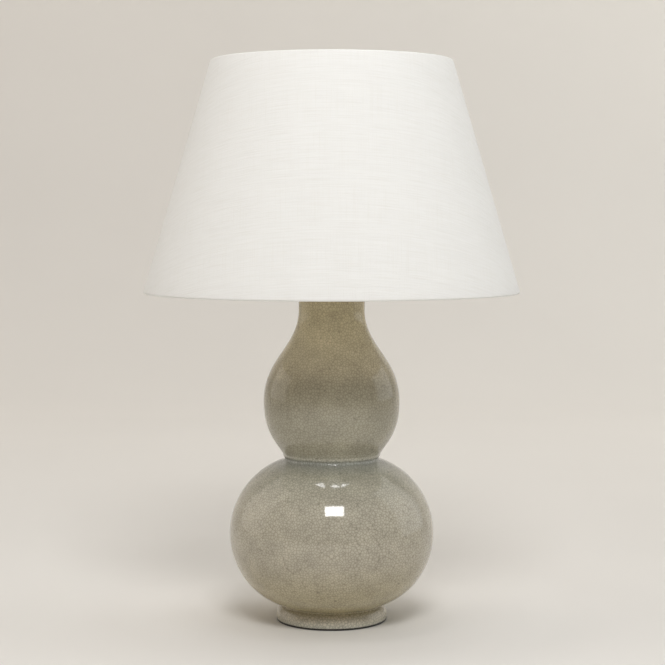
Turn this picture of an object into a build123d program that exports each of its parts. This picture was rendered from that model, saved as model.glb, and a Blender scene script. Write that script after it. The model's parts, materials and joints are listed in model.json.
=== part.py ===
from build123d import *
from math import asin, cos, degrees, hypot, radians, sin
import os

# A double gourd table lamp.  A hollow glazed ceramic gourd stands on a felt pad.  A threaded tube
# up its axis clamps a brass cap to its neck and carries a switched lampholder and a harp.  The
# shade hangs from the top of the harp under a finial, and turns there on a swivel.
#
# Millimetres, +Z up.  The origin is where the lamp's axis meets the surface it stands on.
# The front is -Y, the lead's inlet is at the back (+Y) and the switch points right (+X).

os.makedirs("parts", exist_ok=True)

# ---- Felt pad and ceramic gourd: heights are above the surface the lamp stands on
pad_radius = 66.2
pad_thickness = 2.0
foot_base_radius = 66.6
foot_bulge_radius = 67.0
foot_bulge_height = 7.0
foot_neck_radius = 60.6
foot_neck_height = 19.2
foot_wall = 11.6
lower_belly_radius = 123.0
lower_belly_height = 106.0
waist_radius = 55.0
waist_height = 195.2
upper_belly_radius = 81.8
upper_belly_height = 264.9
neck_radius = 39.8
neck_start_height = 374.9
neck_length = 39.0
ceramic_wall = 6.0
waist_rounding = 3.0
foot_crease_rounding = 1.5
ceramic_edge_rounding = 1.2
# How far each end of a side curve runs along its own tangent, and how steeply it sets off
foot_reach, foot_angle = 52.0, 19.4
lower_belly_reach_down, lower_belly_reach_up = 28.0, 45.5
shoulder_reach, shoulder_angle = 35.6, 13.1
waist_reach, waist_angle = 21.9, 64.9
upper_belly_reach_down, upper_belly_reach_up = 42.2, 52.6
neck_reach = 43.9

# ---- Lead inlet through the back of the foot
inlet_height = 10.5
inlet_bore = 3.4
grommet_wall = 1.1
grommet_flange_radius = 6.0
grommet_flange_thickness = 1.5
grommet_clearance = 0.05
spotface_margin = 0.4
spotface_depth = 2.4
recess_spotface_depth = 1.4

# ---- Threaded tube and what clamps the gourd
tube_radius = 5.0
tube_bore = 3.6
thread_clearance = 0.05
hole_clearance = 0.3
ceramic_hole_clearance = 1.5
tube_below_nut = 2.0
tube_into_lampholder = 6.5
rubber_washer_radius = 19.0
rubber_washer_thickness = 2.0
steel_washer_radius = 17.0
steel_washer_thickness = 1.5
base_nut_flats = 17.0
base_nut_thickness = 5.0
lock_nut_flats = 15.0
lock_nut_thickness = 3.0
gasket_thickness = 1.5
gasket_inset = 0.8

# ---- Brass neck cap and column
cap_metal = 1.0
cap_skirt = 3.0
cap_skirt_clearance = 0.5
cap_rise = 7.0
cap_hub_radius = 15.0
cap_bend_radius = 3.0
column_height = 20.0
column_base_radius = 12.0
column_waist_radius = 7.4
column_top_radius = 10.5
column_collar_height = 3.0

# ---- Harp, its saddle and its sleeves
saddle_thickness = 1.6
saddle_width = 11.0
saddle_hub_radius = 10.0
saddle_foot_spread = 54.0
prong_thickness = 1.5
prong_width = 3.0
prong_height = 9.0
wire_gap = 0.05
harp_wire_radius = 1.75
harp_leg_height = 33.0
harp_bulge_height = 78.0
harp_half_width = 58.0
harp_top_half_width = 49.0
harp_leg_bend, harp_bulge_bend, harp_shoulder_bend = 38.0, 60.0, 40.0
harp_boss_radius = 8.5
harp_boss_thickness = 2.6
sleeve_height = 12.0
sleeve_wall = 0.8
sleeve_clearance = 0.15

# ---- Swivel and finial
swivel_pin_radius = 2.4
swivel_head_radius = 4.2
swivel_head_thickness = 1.2
swivel_end_gap = 0.2
swivel_seat_radius = 7.5
swivel_seat_thickness = 2.2
stud_radius = 3.1
stud_height = 13.0
running_clearance = 0.05
finial_base_radius = 7.4
finial_base_height = 2.6
finial_neck_radius = 4.4
finial_cove_height = 3.0
finial_cove_sag = 0.9
finial_ball_radius = 8.4
finial_height = 25.0
finial_bore_spare = 1.0

# ---- Shade: the rims are the ends of its outer face
shade_bottom_radius = 225.0
shade_top_radius = 144.0
shade_bottom_height = 395.3
shade_height = 276.1
linen_thickness = 0.5
liner_thickness = 0.5
liner_gap = 0.05
ring_wire_radius = 1.3
hem_turn = 210.0
hem_flats = 6
hem_gap = 0.2
spider_drop = 20.0
hub_radius = 11.0
hub_thickness = 2.0
hub_clearance = 0.3
arm_count = 3
first_arm_angle = 90.0
arm_wire_radius = 1.4
arm_level_length = 30.0
arm_bend = 25.0

# ---- Lampholder: heights are above its own underside
bushing_radius = 8.0
bushing_height = 6.5
cup_radius = 18.6
cup_floor_radius = 11.0
cup_shoulder = 14.5
cup_height = 24.0
cup_bend = 3.0
holder_metal = 0.8
holder_shell_start = 19.0
holder_shell_top = 57.0
holder_lip = 1.2
cardboard_gap = 0.1
cardboard_thickness = 0.7
core_gap = 0.6
core_start = 15.5
core_top = 30.0
core_flat = 12.6
screw_shell_top = 54.5
screw_shell_flange = 14.6

# ---- Edison thread, as rings, and the contacts
thread_pitch = 3.63
thread_turns = 4
bulb_thread_root = 12.1
bulb_thread_crest = 13.2
thread_fit = 0.1
thread_metal = 0.4
contact_height = 3.1
contact_gap = 0.3
contact_width = 5.0
contact_metal = 0.5
contact_reach = 7.0
contact_ramp = 1.25
terminal_head_radius = 2.6
terminal_head_thickness = 1.8
terminal_shank_radius = 1.5
terminal_shank_length = 4.0
terminal_slot = 0.6
terminal_height = 23.0

# ---- Rotary switch, pointing to +X
switch_height = 22.0
shaft_radius = 2.0
shaft_start = 3.0
shaft_length = 27.0
collar_radius = 4.2
collar_outside = 3.2
cam_size = 6.0
cam_length = 5.0
chamber_length = 10.0
chamber_width = 13.0
chamber_top = 27.6
leaf_thickness = 0.4
leaf_length = 8.6
leaf_gap = 0.6
knob_start = 23.0
knob_length = 12.0
knob_radius = 6.2
knob_flutes = 12
knob_flute_radius = 0.9

# ---- Bulb: heights are above its contact's tip
bulb_radius = 30.0
bulb_length = 108.0
glass_thickness = 0.8
bulb_neck_radius = 13.0
bulb_neck_height = 23.5
bulb_neck_reach, bulb_belly_reach = 34.0, 24.0
bulb_thread_height = 6.0
bulb_skirt_radius = 13.6
bulb_skirt_start = 23.0
bulb_skirt_top = 27.0
tip_radius = 4.8
tip_thickness = 1.2
insulator_radius = 9.2
insulator_height = 4.2
stem_radius = 3.0
stem_flare_gap = 0.1
stem_flare_height = 14.0
stem_height = 62.0
lead_radius = 0.4
lead_inset = 1.8
lead_spread = 13.0
lead_rise = 16.0
lead_bend = 4.0
filament_radius = 0.7

# ---- Heights that follow from the sizes above
foot_start = pad_thickness
neck_top = neck_start_height + neck_length
cap_seat = neck_top + gasket_thickness
column_start = cap_seat + cap_rise + cap_metal
saddle_start = column_start + column_height
saddle_top = saddle_start + saddle_thickness
holder_start = saddle_top + lock_nut_thickness
bulb_tip = holder_start + core_top + contact_height + contact_gap
shade_rim = shade_bottom_height + shade_height
hub_seat = shade_rim - spider_drop

# ---- The shade's slant, and the rolled edges on it
slant_length = hypot(shade_bottom_radius - shade_top_radius, shade_height)
slant_out = (shade_bottom_radius - shade_top_radius) / slant_length
slant_down = shade_height / slant_length
hem_inside = ring_wire_radius + hem_gap
roll_radius = hem_inside + linen_thickness


def reach(point, length, angle):
    """The point at a given length from another, along an angle above the horizontal."""
    return (point[0] + length * cos(radians(angle)), point[1] + length * sin(radians(angle)))


def on_slant(run, depth):
    """Radius and height at a run down the shade's outer face and a depth inside it."""
    radius = shade_top_radius + run * slant_out - depth * slant_down
    height = shade_rim - run * slant_down - depth * slant_out
    return (radius, height)


def annulus(outer_radius, bore_radius):
    """Draw a disc with a round hole in the current sketch."""
    Circle(outer_radius)
    Circle(bore_radius, mode=Mode.SUBTRACT)


def thread_wave(root, crest, start, turns):
    """Draw rolled Edison thread rings: round crests and hollows, half a pitch each."""
    middle = (root + crest) / 2
    quarter = thread_pitch / 4
    for turn in range(turns):
        base = start + turn * thread_pitch
        ThreePointArc((middle, base), (crest, base + quarter), (middle, base + 2 * quarter))
        ThreePointArc(
            (middle, base + 2 * quarter), (root, base + 3 * quarter), (middle, base + 4 * quarter)
        )


# ======================================================================= base and gourd

with BuildPart() as base_pad:
    with BuildSketch():
        Circle(pad_radius)
    extrude(amount=pad_thickness)
base_pad.part.label = "base_pad"
export_step(base_pad.part, "parts/base_pad.step")

# The gourd is thrown in three sections that meet face to face: the foot ring, the lower bulb
# with its floor and the upper bulb with its neck.  They are cut from one turned body.
#
# Its outer side runs from the crease above the foot to the top of the neck
foot_neck = (foot_neck_radius, foot_neck_height)
lower_belly = (lower_belly_radius, lower_belly_height)
waist = (waist_radius, waist_height)
upper_belly = (upper_belly_radius, upper_belly_height)
neck_start = (neck_radius, neck_start_height)
gourd_curves = [
    (foot_neck, foot_angle, foot_reach, lower_belly, 90, lower_belly_reach_down),
    (lower_belly, 90, lower_belly_reach_up, waist, 180 - shoulder_angle, shoulder_reach),
    (waist, waist_angle, waist_reach, upper_belly, 90, upper_belly_reach_down),
    (upper_belly, 90, upper_belly_reach_up, neck_start, 90, neck_reach),
]


def side_curve(inset, start, start_angle, start_reach, end, end_angle, end_reach):
    """Draw one curve of the gourd's side, moved in by a wall; angles follow the way it is drawn."""
    inner_start = reach(start, inset, start_angle + 90)
    inner_end = reach(end, inset, end_angle + 90)
    outer_chord = hypot(end[0] - start[0], end[1] - start[1])
    inner_chord = hypot(inner_end[0] - inner_start[0], inner_end[1] - inner_start[1])
    scale = inner_chord / outer_chord
    Bezier(
        inner_start,
        reach(inner_start, start_reach * scale, start_angle),
        reach(inner_end, end_reach * scale, end_angle + 180),
        inner_end,
    )


floor_edge = reach(foot_neck, ceramic_wall, foot_angle + 90)
waist_inside_below = reach(waist, ceramic_wall, 180 - shoulder_angle + 90)
waist_inside_above = reach(waist, ceramic_wall, waist_angle + 90)
neck_bore = neck_radius - ceramic_wall
floor_underside = floor_edge[1] - ceramic_wall
recess_radius = foot_base_radius - foot_wall
centre_hole_radius = tube_radius + ceramic_hole_clearance

with BuildPart() as whole_gourd:
    with BuildSketch(Plane.XZ) as gourd_section:
        with BuildLine():
            for curve in gourd_curves:
                side_curve(0, *curve)
                side_curve(ceramic_wall, *curve)
            Line(waist_inside_below, waist_inside_above)
            Polyline(
                neck_start,
                (neck_radius, neck_top),
                (neck_bore, neck_top),
                (neck_bore, neck_start_height),
            )
            Polyline(
                floor_edge,
                (centre_hole_radius, floor_edge[1]),
                (centre_hole_radius, floor_underside),
                (recess_radius, floor_underside),
                (recess_radius, foot_start),
                (foot_base_radius, foot_start),
            )
            ThreePointArc(
                (foot_base_radius, foot_start), (foot_bulge_radius, foot_bulge_height), foot_neck
            )
        make_face()
        corners = gourd_section.vertices()
        fillet(corners.sort_by_distance(Vector(*waist))[0], waist_rounding)
        fillet(corners.sort_by_distance(Vector(*foot_neck))[0], foot_crease_rounding)
        lip_corners = corners.group_by(Axis.Y)[-1]
        foot_corners = corners.group_by(Axis.Y)[0]
        fillet(lip_corners + foot_corners, ceramic_edge_rounding)
    revolve(axis=Axis.Z)
    # The lead's hole goes out through the back of the foot, with a flat for each flange
    inlet_hole_radius = inlet_bore + grommet_wall + grommet_clearance
    outer_flat = foot_bulge_radius - spotface_depth
    inner_flat = recess_radius + recess_spotface_depth
    with BuildSketch(Plane(origin=(0, 0, inlet_height), x_dir=(1, 0, 0), z_dir=(0, 1, 0))):
        Circle(inlet_hole_radius)
    extrude(amount=foot_bulge_radius, mode=Mode.SUBTRACT)
    with BuildSketch(Plane(origin=(0, outer_flat, inlet_height), x_dir=(1, 0, 0), z_dir=(0, 1, 0))):
        Circle(grommet_flange_radius + spotface_margin)
    extrude(amount=spotface_depth + spotface_margin, mode=Mode.SUBTRACT)
    with BuildSketch(Plane(origin=(0, inner_flat, inlet_height), x_dir=(1, 0, 0), z_dir=(0, -1, 0))):
        Circle(grommet_flange_radius + spotface_margin)
    extrude(amount=grommet_flange_radius, mode=Mode.SUBTRACT)

foot_joint = Plane.XY.offset(floor_underside)
waist_joint = Plane.XY.offset(waist_height)

with BuildPart() as gourd_foot:
    add(whole_gourd.part)
    split(bisect_by=foot_joint, keep=Keep.BOTTOM)
gourd_foot.part.label = "gourd_foot"
export_step(gourd_foot.part, "parts/gourd_foot.step")

with BuildPart() as gourd_lower:
    add(whole_gourd.part)
    split(bisect_by=foot_joint, keep=Keep.TOP)
    split(bisect_by=waist_joint, keep=Keep.BOTTOM)
gourd_lower.part.label = "gourd_lower"
export_step(gourd_lower.part, "parts/gourd_lower.step")

with BuildPart() as gourd_upper:
    add(whole_gourd.part)
    split(bisect_by=waist_joint, keep=Keep.TOP)
gourd_upper.part.label = "gourd_upper"
export_step(gourd_upper.part, "parts/gourd_upper.step")

# A rubber sleeve with a flange at each end, turned about the inlet's axis
with BuildPart() as cord_grommet:
    with BuildSketch(Plane(origin=(0, 0, inlet_height), x_dir=(1, 0, 0), z_dir=(0, 0, 1))):
        with BuildLine():
            Polyline(
                (inlet_bore, inner_flat - grommet_flange_thickness),
                (grommet_flange_radius, inner_flat - grommet_flange_thickness),
                (grommet_flange_radius, inner_flat),
                (inlet_bore + grommet_wall, inner_flat),
                (inlet_bore + grommet_wall, outer_flat),
                (grommet_flange_radius, outer_flat),
                (grommet_flange_radius, outer_flat + grommet_flange_thickness),
                (inlet_bore, outer_flat + grommet_flange_thickness),
                close=True,
            )
        make_face()
    revolve(axis=Axis((0, 0, inlet_height), (0, 1, 0)))
    rim_edges = cord_grommet.edges().filter_by(GeomType.CIRCLE).group_by(Axis.Y)[-1]
    fillet(rim_edges, grommet_flange_thickness / 3)
cord_grommet.part.label = "cord_grommet"
export_step(cord_grommet.part, "parts/cord_grommet.step")

# ======================================================================= clamping tube

rubber_washer_start = floor_underside - rubber_washer_thickness
steel_washer_start = rubber_washer_start - steel_washer_thickness
base_nut_start = steel_washer_start - base_nut_thickness
tube_start = base_nut_start - tube_below_nut
tube_top = holder_start + tube_into_lampholder

with BuildPart() as threaded_tube:
    with BuildSketch(Plane.XY.offset(tube_start)):
        annulus(tube_radius, tube_bore)
    extrude(amount=tube_top - tube_start)
threaded_tube.part.label = "threaded_tube"
export_step(threaded_tube.part, "parts/threaded_tube.step")

with BuildPart() as base_rubber_washer:
    with BuildSketch(Plane.XY.offset(rubber_washer_start)):
        annulus(rubber_washer_radius, tube_radius + hole_clearance)
    extrude(amount=rubber_washer_thickness)
base_rubber_washer.part.label = "base_rubber_washer"
export_step(base_rubber_washer.part, "parts/base_rubber_washer.step")

with BuildPart() as base_washer:
    with BuildSketch(Plane.XY.offset(steel_washer_start)):
        annulus(steel_washer_radius, tube_radius + hole_clearance)
    extrude(amount=steel_washer_thickness)
base_washer.part.label = "base_washer"
export_step(base_washer.part, "parts/base_washer.step")

with BuildPart() as base_nut:
    with BuildSketch(Plane.XY.offset(base_nut_start)):
        RegularPolygon(base_nut_flats / 2, 6, major_radius=False)
        Circle(tube_radius + thread_clearance, mode=Mode.SUBTRACT)
    extrude(amount=base_nut_thickness)
base_nut.part.label = "base_nut"
export_step(base_nut.part, "parts/base_nut.step")

with BuildPart() as neck_gasket:
    with BuildSketch(Plane.XY.offset(neck_top)):
        annulus(neck_radius - gasket_inset, neck_bore + gasket_inset)
    extrude(amount=gasket_thickness)
neck_gasket.part.label = "neck_gasket"
export_step(neck_gasket.part, "parts/neck_gasket.step")

# A spun cap: a skirt round the neck, a flat on the gasket, a dome and a level hub
skirt_radius = neck_radius + cap_skirt_clearance
with BuildPart() as neck_cap:
    with BuildSketch(Plane.XZ):
        with BuildLine():
            cap_path = FilletPolyline(
                (tube_radius + hole_clearance, cap_seat + cap_rise),
                (cap_hub_radius, cap_seat + cap_rise),
                (neck_bore, cap_seat),
                (skirt_radius, cap_seat),
                (skirt_radius, neck_top + gasket_thickness - cap_skirt),
                radius=[cap_bend_radius, cap_bend_radius, cap_metal / 2],
            )
            offset(cap_path, amount=cap_metal, side=Side.LEFT)
        make_face()
    revolve(axis=Axis.Z)
neck_cap.part.label = "neck_cap"
export_step(neck_cap.part, "parts/neck_cap.step")

# A turned spacer with a broad foot, a drawn-in waist and a collar
column_bore = tube_radius + hole_clearance
column_collar_start = column_start + column_height - column_collar_height
with BuildPart() as neck_column:
    with BuildSketch(Plane.XZ):
        with BuildLine():
            Polyline(
                (column_top_radius, column_collar_start),
                (column_top_radius, column_start + column_height),
                (column_bore, column_start + column_height),
                (column_bore, column_start),
                (column_base_radius, column_start),
                (column_base_radius, column_start + column_collar_height),
            )
            ThreePointArc(
                (column_base_radius, column_start + column_collar_height),
                (column_waist_radius, column_start + column_height / 2),
                (column_top_radius, column_collar_start),
            )
        make_face()
    revolve(axis=Axis.Z)
neck_column.part.label = "neck_column"
export_step(neck_column.part, "parts/neck_column.step")

with BuildPart() as lock_nut:
    with BuildSketch(Plane.XY.offset(saddle_top)):
        RegularPolygon(lock_nut_flats / 2, 6, major_radius=False)
        Circle(tube_radius + thread_clearance, mode=Mode.SUBTRACT)
    extrude(amount=lock_nut_thickness)
lock_nut.part.label = "lock_nut"
export_step(lock_nut.part, "parts/lock_nut.step")

# ======================================================================= harp

# At each foot a prong of the saddle stands inside the harp's leg, and a sleeve holds the pair
foot_y = saddle_foot_spread / 2
pair_depth = 2 * harp_wire_radius + wire_gap + prong_thickness
leg_y = foot_y + pair_depth / 2 - harp_wire_radius
prong_y = foot_y - pair_depth / 2 + prong_thickness / 2
sleeve_bore = hypot(pair_depth, prong_width) / 2 + sleeve_clearance
sleeve_radius = sleeve_bore + sleeve_wall
seat_start = hub_seat - swivel_seat_thickness
boss_underside = seat_start - harp_boss_thickness
harp_wire_top = seat_start - harp_boss_thickness / 2

with BuildPart() as harp_saddle:
    with BuildSketch(Plane.XY.offset(saddle_start)):
        Rectangle(saddle_width, saddle_foot_spread)
        Circle(saddle_hub_radius)
        with Locations((0, foot_y), (0, -foot_y)):
            Circle(saddle_width / 2)
        Circle(tube_radius + hole_clearance, mode=Mode.SUBTRACT)
    extrude(amount=saddle_thickness)
    with BuildSketch(Plane.XY.offset(saddle_top)):
        with Locations((0, prong_y), (0, -prong_y)):
            Rectangle(prong_width, prong_thickness)
    extrude(amount=prong_height)
harp_saddle.part.label = "harp_saddle"
export_step(harp_saddle.part, "parts/harp_saddle.step")

with BuildPart() as harp_bow:
    with BuildLine(Plane.YZ) as harp_path:
        FilletPolyline(
            (leg_y, saddle_top),
            (leg_y, saddle_top + harp_leg_height),
            (harp_half_width, saddle_top + harp_bulge_height),
            (harp_top_half_width, harp_wire_top),
            (-harp_top_half_width, harp_wire_top),
            (-harp_half_width, saddle_top + harp_bulge_height),
            (-leg_y, saddle_top + harp_leg_height),
            (-leg_y, saddle_top),
            radius=[
                harp_leg_bend,
                harp_bulge_bend,
                harp_shoulder_bend,
                harp_shoulder_bend,
                harp_bulge_bend,
                harp_leg_bend,
            ],
        )
    with BuildSketch(Plane(origin=(0, leg_y, saddle_top), z_dir=(0, 0, 1))):
        Circle(harp_wire_radius)
    sweep(path=harp_path.wire())
    # The wire is pressed flat into a round boss where the swivel is riveted
    with BuildSketch(Plane.XY.offset(boss_underside)):
        Circle(harp_boss_radius)
    extrude(amount=harp_boss_thickness)
    for face_height, away in ((seat_start, 1), (boss_underside, -1)):
        with BuildSketch(Plane.XY.offset(face_height)):
            Circle(harp_boss_radius)
        extrude(amount=away * harp_wire_radius, mode=Mode.SUBTRACT)
    with BuildSketch(Plane.XY.offset(boss_underside)):
        Circle(swivel_pin_radius + running_clearance)
    extrude(amount=harp_boss_thickness, mode=Mode.SUBTRACT)
harp_bow.part.label = "harp_bow"
export_step(harp_bow.part, "parts/harp_bow.step")

with BuildPart() as harp_sleeve_front:
    with BuildSketch(Plane(origin=(0, -foot_y, saddle_top), z_dir=(0, 0, 1))):
        annulus(sleeve_radius, sleeve_bore)
    extrude(amount=sleeve_height)
    fillet(harp_sleeve_front.edges().filter_by(GeomType.CIRCLE), sleeve_wall / 3)
harp_sleeve_front.part.label = "harp_sleeve_front"
export_step(harp_sleeve_front.part, "parts/harp_sleeve_front.step")

with BuildPart() as harp_sleeve_back:
    with BuildSketch(Plane(origin=(0, foot_y, saddle_top), z_dir=(0, 0, 1))):
        annulus(sleeve_radius, sleeve_bore)
    extrude(amount=sleeve_height)
    fillet(harp_sleeve_back.edges().filter_by(GeomType.CIRCLE), sleeve_wall / 3)
harp_sleeve_back.part.label = "harp_sleeve_back"
export_step(harp_sleeve_back.part, "parts/harp_sleeve_back.step")

# The swivel's head is riveted under the boss, and its seat and stud stand above it
head_top = boss_underside - swivel_end_gap
stud_top = hub_seat + stud_height
with BuildPart() as harp_swivel:
    with BuildSketch(Plane.XZ):
        with BuildLine():
            Polyline(
                (0, head_top - swivel_head_thickness),
                (swivel_head_radius, head_top - swivel_head_thickness),
                (swivel_head_radius, head_top),
                (swivel_pin_radius, head_top),
                (swivel_pin_radius, seat_start),
                (swivel_seat_radius, seat_start),
                (swivel_seat_radius, hub_seat),
                (stud_radius, hub_seat),
                (stud_radius, stud_top),
                (0, stud_top),
                close=True,
            )
        make_face()
    revolve(axis=Axis.Z)
    chamfer(harp_swivel.edges().filter_by(GeomType.CIRCLE).sort_by(Axis.Z)[-1], stud_radius / 6)
harp_swivel.part.label = "harp_swivel"
export_step(harp_swivel.part, "parts/harp_swivel.step")

# ======================================================================= shade

# Each rolled edge is a ring of wire with the linen turned over it
roll_top_run = roll_radius * (1 - slant_out) / slant_down
roll_bottom_run = slant_length - roll_radius * (1 + slant_out) / slant_down
top_wire_centre = on_slant(roll_top_run, roll_radius)
bottom_wire_centre = on_slant(roll_bottom_run, roll_radius)
slant_angle = degrees(asin(slant_out))

with BuildPart() as shade_top_ring:
    with BuildSketch(Plane.XZ):
        with Locations(top_wire_centre):
            Circle(ring_wire_radius)
    revolve(axis=Axis.Z)
shade_top_ring.part.label = "shade_top_ring"
export_step(shade_top_ring.part, "parts/shade_top_ring.step")

with BuildPart() as shade_bottom_ring:
    with BuildSketch(Plane.XZ):
        with Locations(bottom_wire_centre):
            Circle(ring_wire_radius)
    revolve(axis=Axis.Z)
shade_bottom_ring.part.label = "shade_bottom_ring"
export_step(shade_bottom_ring.part, "parts/shade_bottom_ring.step")

with BuildPart() as shade_linen:
    with BuildSketch(Plane.XZ):
        with BuildLine():
            Polyline(
                on_slant(roll_top_run, 0),
                on_slant(roll_bottom_run, 0),
                on_slant(roll_bottom_run, linen_thickness),
                on_slant(roll_top_run, linen_thickness),
                close=True,
            )
        make_face()
    revolve(axis=Axis.Z)
shade_linen.part.label = "shade_linen"
export_step(shade_linen.part, "parts/shade_linen.step")

liner_start_run = roll_top_run + roll_radius
liner_end_run = roll_bottom_run - roll_radius
liner_outside = linen_thickness + liner_gap
liner_inside = liner_outside + liner_thickness
with BuildPart() as shade_liner:
    with BuildSketch(Plane.XZ):
        with BuildLine():
            Polyline(
                on_slant(liner_start_run, liner_outside),
                on_slant(liner_end_run, liner_outside),
                on_slant(liner_end_run, liner_inside),
                on_slant(liner_start_run, liner_inside),
                close=True,
            )
        make_face()
    revolve(axis=Axis.Z)
shade_liner.part.label = "shade_liner"
export_step(shade_liner.part, "parts/shade_liner.step")


def round_wire(centre, radius, turn):
    """Points round a ring's wire, from where the linen ends to the edge of its hem."""
    return [reach(centre, radius, slant_angle + turn * flat / hem_flats) for flat in range(hem_flats + 1)]


# A hem is folded from the linen's end round the wire and down its inner side, in short flats
with BuildPart() as shade_top_hem:
    with BuildSketch(Plane.XZ):
        with BuildLine():
            over_wire = round_wire(top_wire_centre, hem_inside, hem_turn)
            over_hem = round_wire(top_wire_centre, roll_radius, hem_turn)
            Polyline(*over_wire, *reversed(over_hem), close=True)
        make_face()
    revolve(axis=Axis.Z)
shade_top_hem.part.label = "shade_top_hem"
export_step(shade_top_hem.part, "parts/shade_top_hem.step")

with BuildPart() as shade_bottom_hem:
    with BuildSketch(Plane.XZ):
        with BuildLine():
            under_wire = round_wire(bottom_wire_centre, hem_inside, -hem_turn)
            under_hem = round_wire(bottom_wire_centre, roll_radius, -hem_turn)
            Polyline(*under_wire, *reversed(under_hem), close=True)
        make_face()
    revolve(axis=Axis.Z)
shade_bottom_hem.part.label = "shade_bottom_hem"
export_step(shade_bottom_hem.part, "parts/shade_bottom_hem.step")

# One arm of the spider, from inside the hub to the top ring
arm_height = hub_seat + hub_thickness / 2
with BuildPart() as spider_arm:
    with BuildLine(Plane.XZ) as arm_path:
        FilletPolyline(
            (hub_radius - arm_wire_radius, arm_height),
            (arm_level_length, arm_height),
            top_wire_centre,
            radius=arm_bend,
        )
    with BuildSketch(Plane(origin=arm_path.line @ 0, z_dir=(1, 0, 0))):
        Circle(arm_wire_radius)
    sweep(path=arm_path.wire())
    with BuildSketch(Plane.XZ):
        with Locations(top_wire_centre):
            Circle(roll_radius)
    revolve(axis=Axis.Z, mode=Mode.SUBTRACT)

with BuildPart() as shade_spider:
    with BuildSketch(Plane.XY.offset(hub_seat)):
        Circle(hub_radius)
    extrude(amount=hub_thickness)
    for arm in range(arm_count):
        add(spider_arm.part, rotation=(0, 0, first_arm_angle + arm * 360 / arm_count))
    with BuildSketch(Plane.XY.offset(hub_seat)):
        Circle(stud_radius + hub_clearance)
    extrude(amount=hub_thickness, mode=Mode.SUBTRACT)
shade_spider.part.label = "shade_spider"
export_step(shade_spider.part, "parts/shade_spider.step")

# The finial screws down on the spider's hub: a flange, a cove and a ball
finial_start = hub_seat + hub_thickness
finial_top = finial_start + finial_height
ball_centre_height = finial_top - finial_ball_radius
finial_bore = stud_radius + running_clearance
flange_edge = (finial_base_radius, finial_start + finial_base_height)
cove_top = (finial_neck_radius, flange_edge[1] + finial_cove_height)
with BuildPart() as finial:
    with BuildSketch(Plane.XZ):
        with BuildLine():
            SagittaArc(flange_edge, cove_top, -finial_cove_sag)
            Polyline(
                cove_top,
                (finial_neck_radius, ball_centre_height),
                (0, ball_centre_height),
                (0, finial_start),
                (finial_base_radius, finial_start),
                flange_edge,
            )
        make_face()
    revolve(axis=Axis.Z)
    with Locations((0, 0, ball_centre_height)):
        Sphere(finial_ball_radius)
    with BuildSketch(Plane.XY.offset(finial_start)):
        Circle(finial_bore)
    extrude(amount=stud_top + finial_bore_spare - finial_start, mode=Mode.SUBTRACT)
finial.part.label = "finial"
export_step(finial.part, "parts/finial.step")

# ======================================================================= lampholder

# The switch's collar goes out through the cup, the shell and its cardboard
switch_z = holder_start + switch_height
with BuildPart() as collar_hole:
    with BuildSketch(Plane.YZ):
        with Locations((0, switch_z)):
            Circle(collar_radius)
    extrude(amount=cup_radius + holder_metal)

# A bushing screws onto the tube and carries a drawn cup
holder_bore = tube_radius + thread_clearance
cup_inside = cup_radius - holder_metal
with BuildPart() as lampholder_cup:
    with BuildSketch(Plane.XZ):
        with BuildLine():
            cup_path = FilletPolyline(
                (holder_bore, holder_start + bushing_height),
                (cup_floor_radius, holder_start + bushing_height),
                (cup_inside, holder_start + cup_shoulder),
                (cup_inside, holder_start + cup_height),
                radius=cup_bend,
            )
            offset(cup_path, amount=holder_metal, side=Side.RIGHT)
        make_face()
    revolve(axis=Axis.Z)
    with BuildSketch(Plane.XY.offset(holder_start)):
        annulus(bushing_radius, holder_bore)
    extrude(amount=bushing_height)
    add(collar_hole.part, mode=Mode.SUBTRACT)
lampholder_cup.part.label = "lampholder_cup"
export_step(lampholder_cup.part, "parts/lampholder_cup.step")

# The shell slides into the cup, and a cardboard sleeve lines it
shell_radius = cup_inside - thread_clearance
with BuildPart() as lampholder_shell:
    with BuildSketch(Plane.XZ):
        with BuildLine():
            shell_path = Polyline(
                (shell_radius, holder_start + holder_shell_start),
                (shell_radius, holder_start + holder_shell_top),
                (shell_radius - holder_metal - holder_lip, holder_start + holder_shell_top),
            )
            offset(shell_path, amount=holder_metal, side=Side.LEFT)
        make_face()
    revolve(axis=Axis.Z)
    fillet(lampholder_shell.edges().group_by(Axis.Z)[-1], holder_metal / 2)
    add(collar_hole.part, mode=Mode.SUBTRACT)
lampholder_shell.part.label = "lampholder_shell"
export_step(lampholder_shell.part, "parts/lampholder_shell.step")

cardboard_radius = shell_radius - holder_metal - cardboard_gap
cardboard_bore = cardboard_radius - cardboard_thickness
cardboard_top = holder_shell_top - holder_metal - cardboard_gap
with BuildPart() as lampholder_cardboard:
    with BuildSketch(Plane.XY.offset(holder_start + holder_shell_start)):
        annulus(cardboard_radius, cardboard_bore)
    extrude(amount=cardboard_top - holder_shell_start)
    add(collar_hole.part, mode=Mode.SUBTRACT)
lampholder_cardboard.part.label = "lampholder_cardboard"
export_step(lampholder_cardboard.part, "parts/lampholder_cardboard.step")

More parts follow.
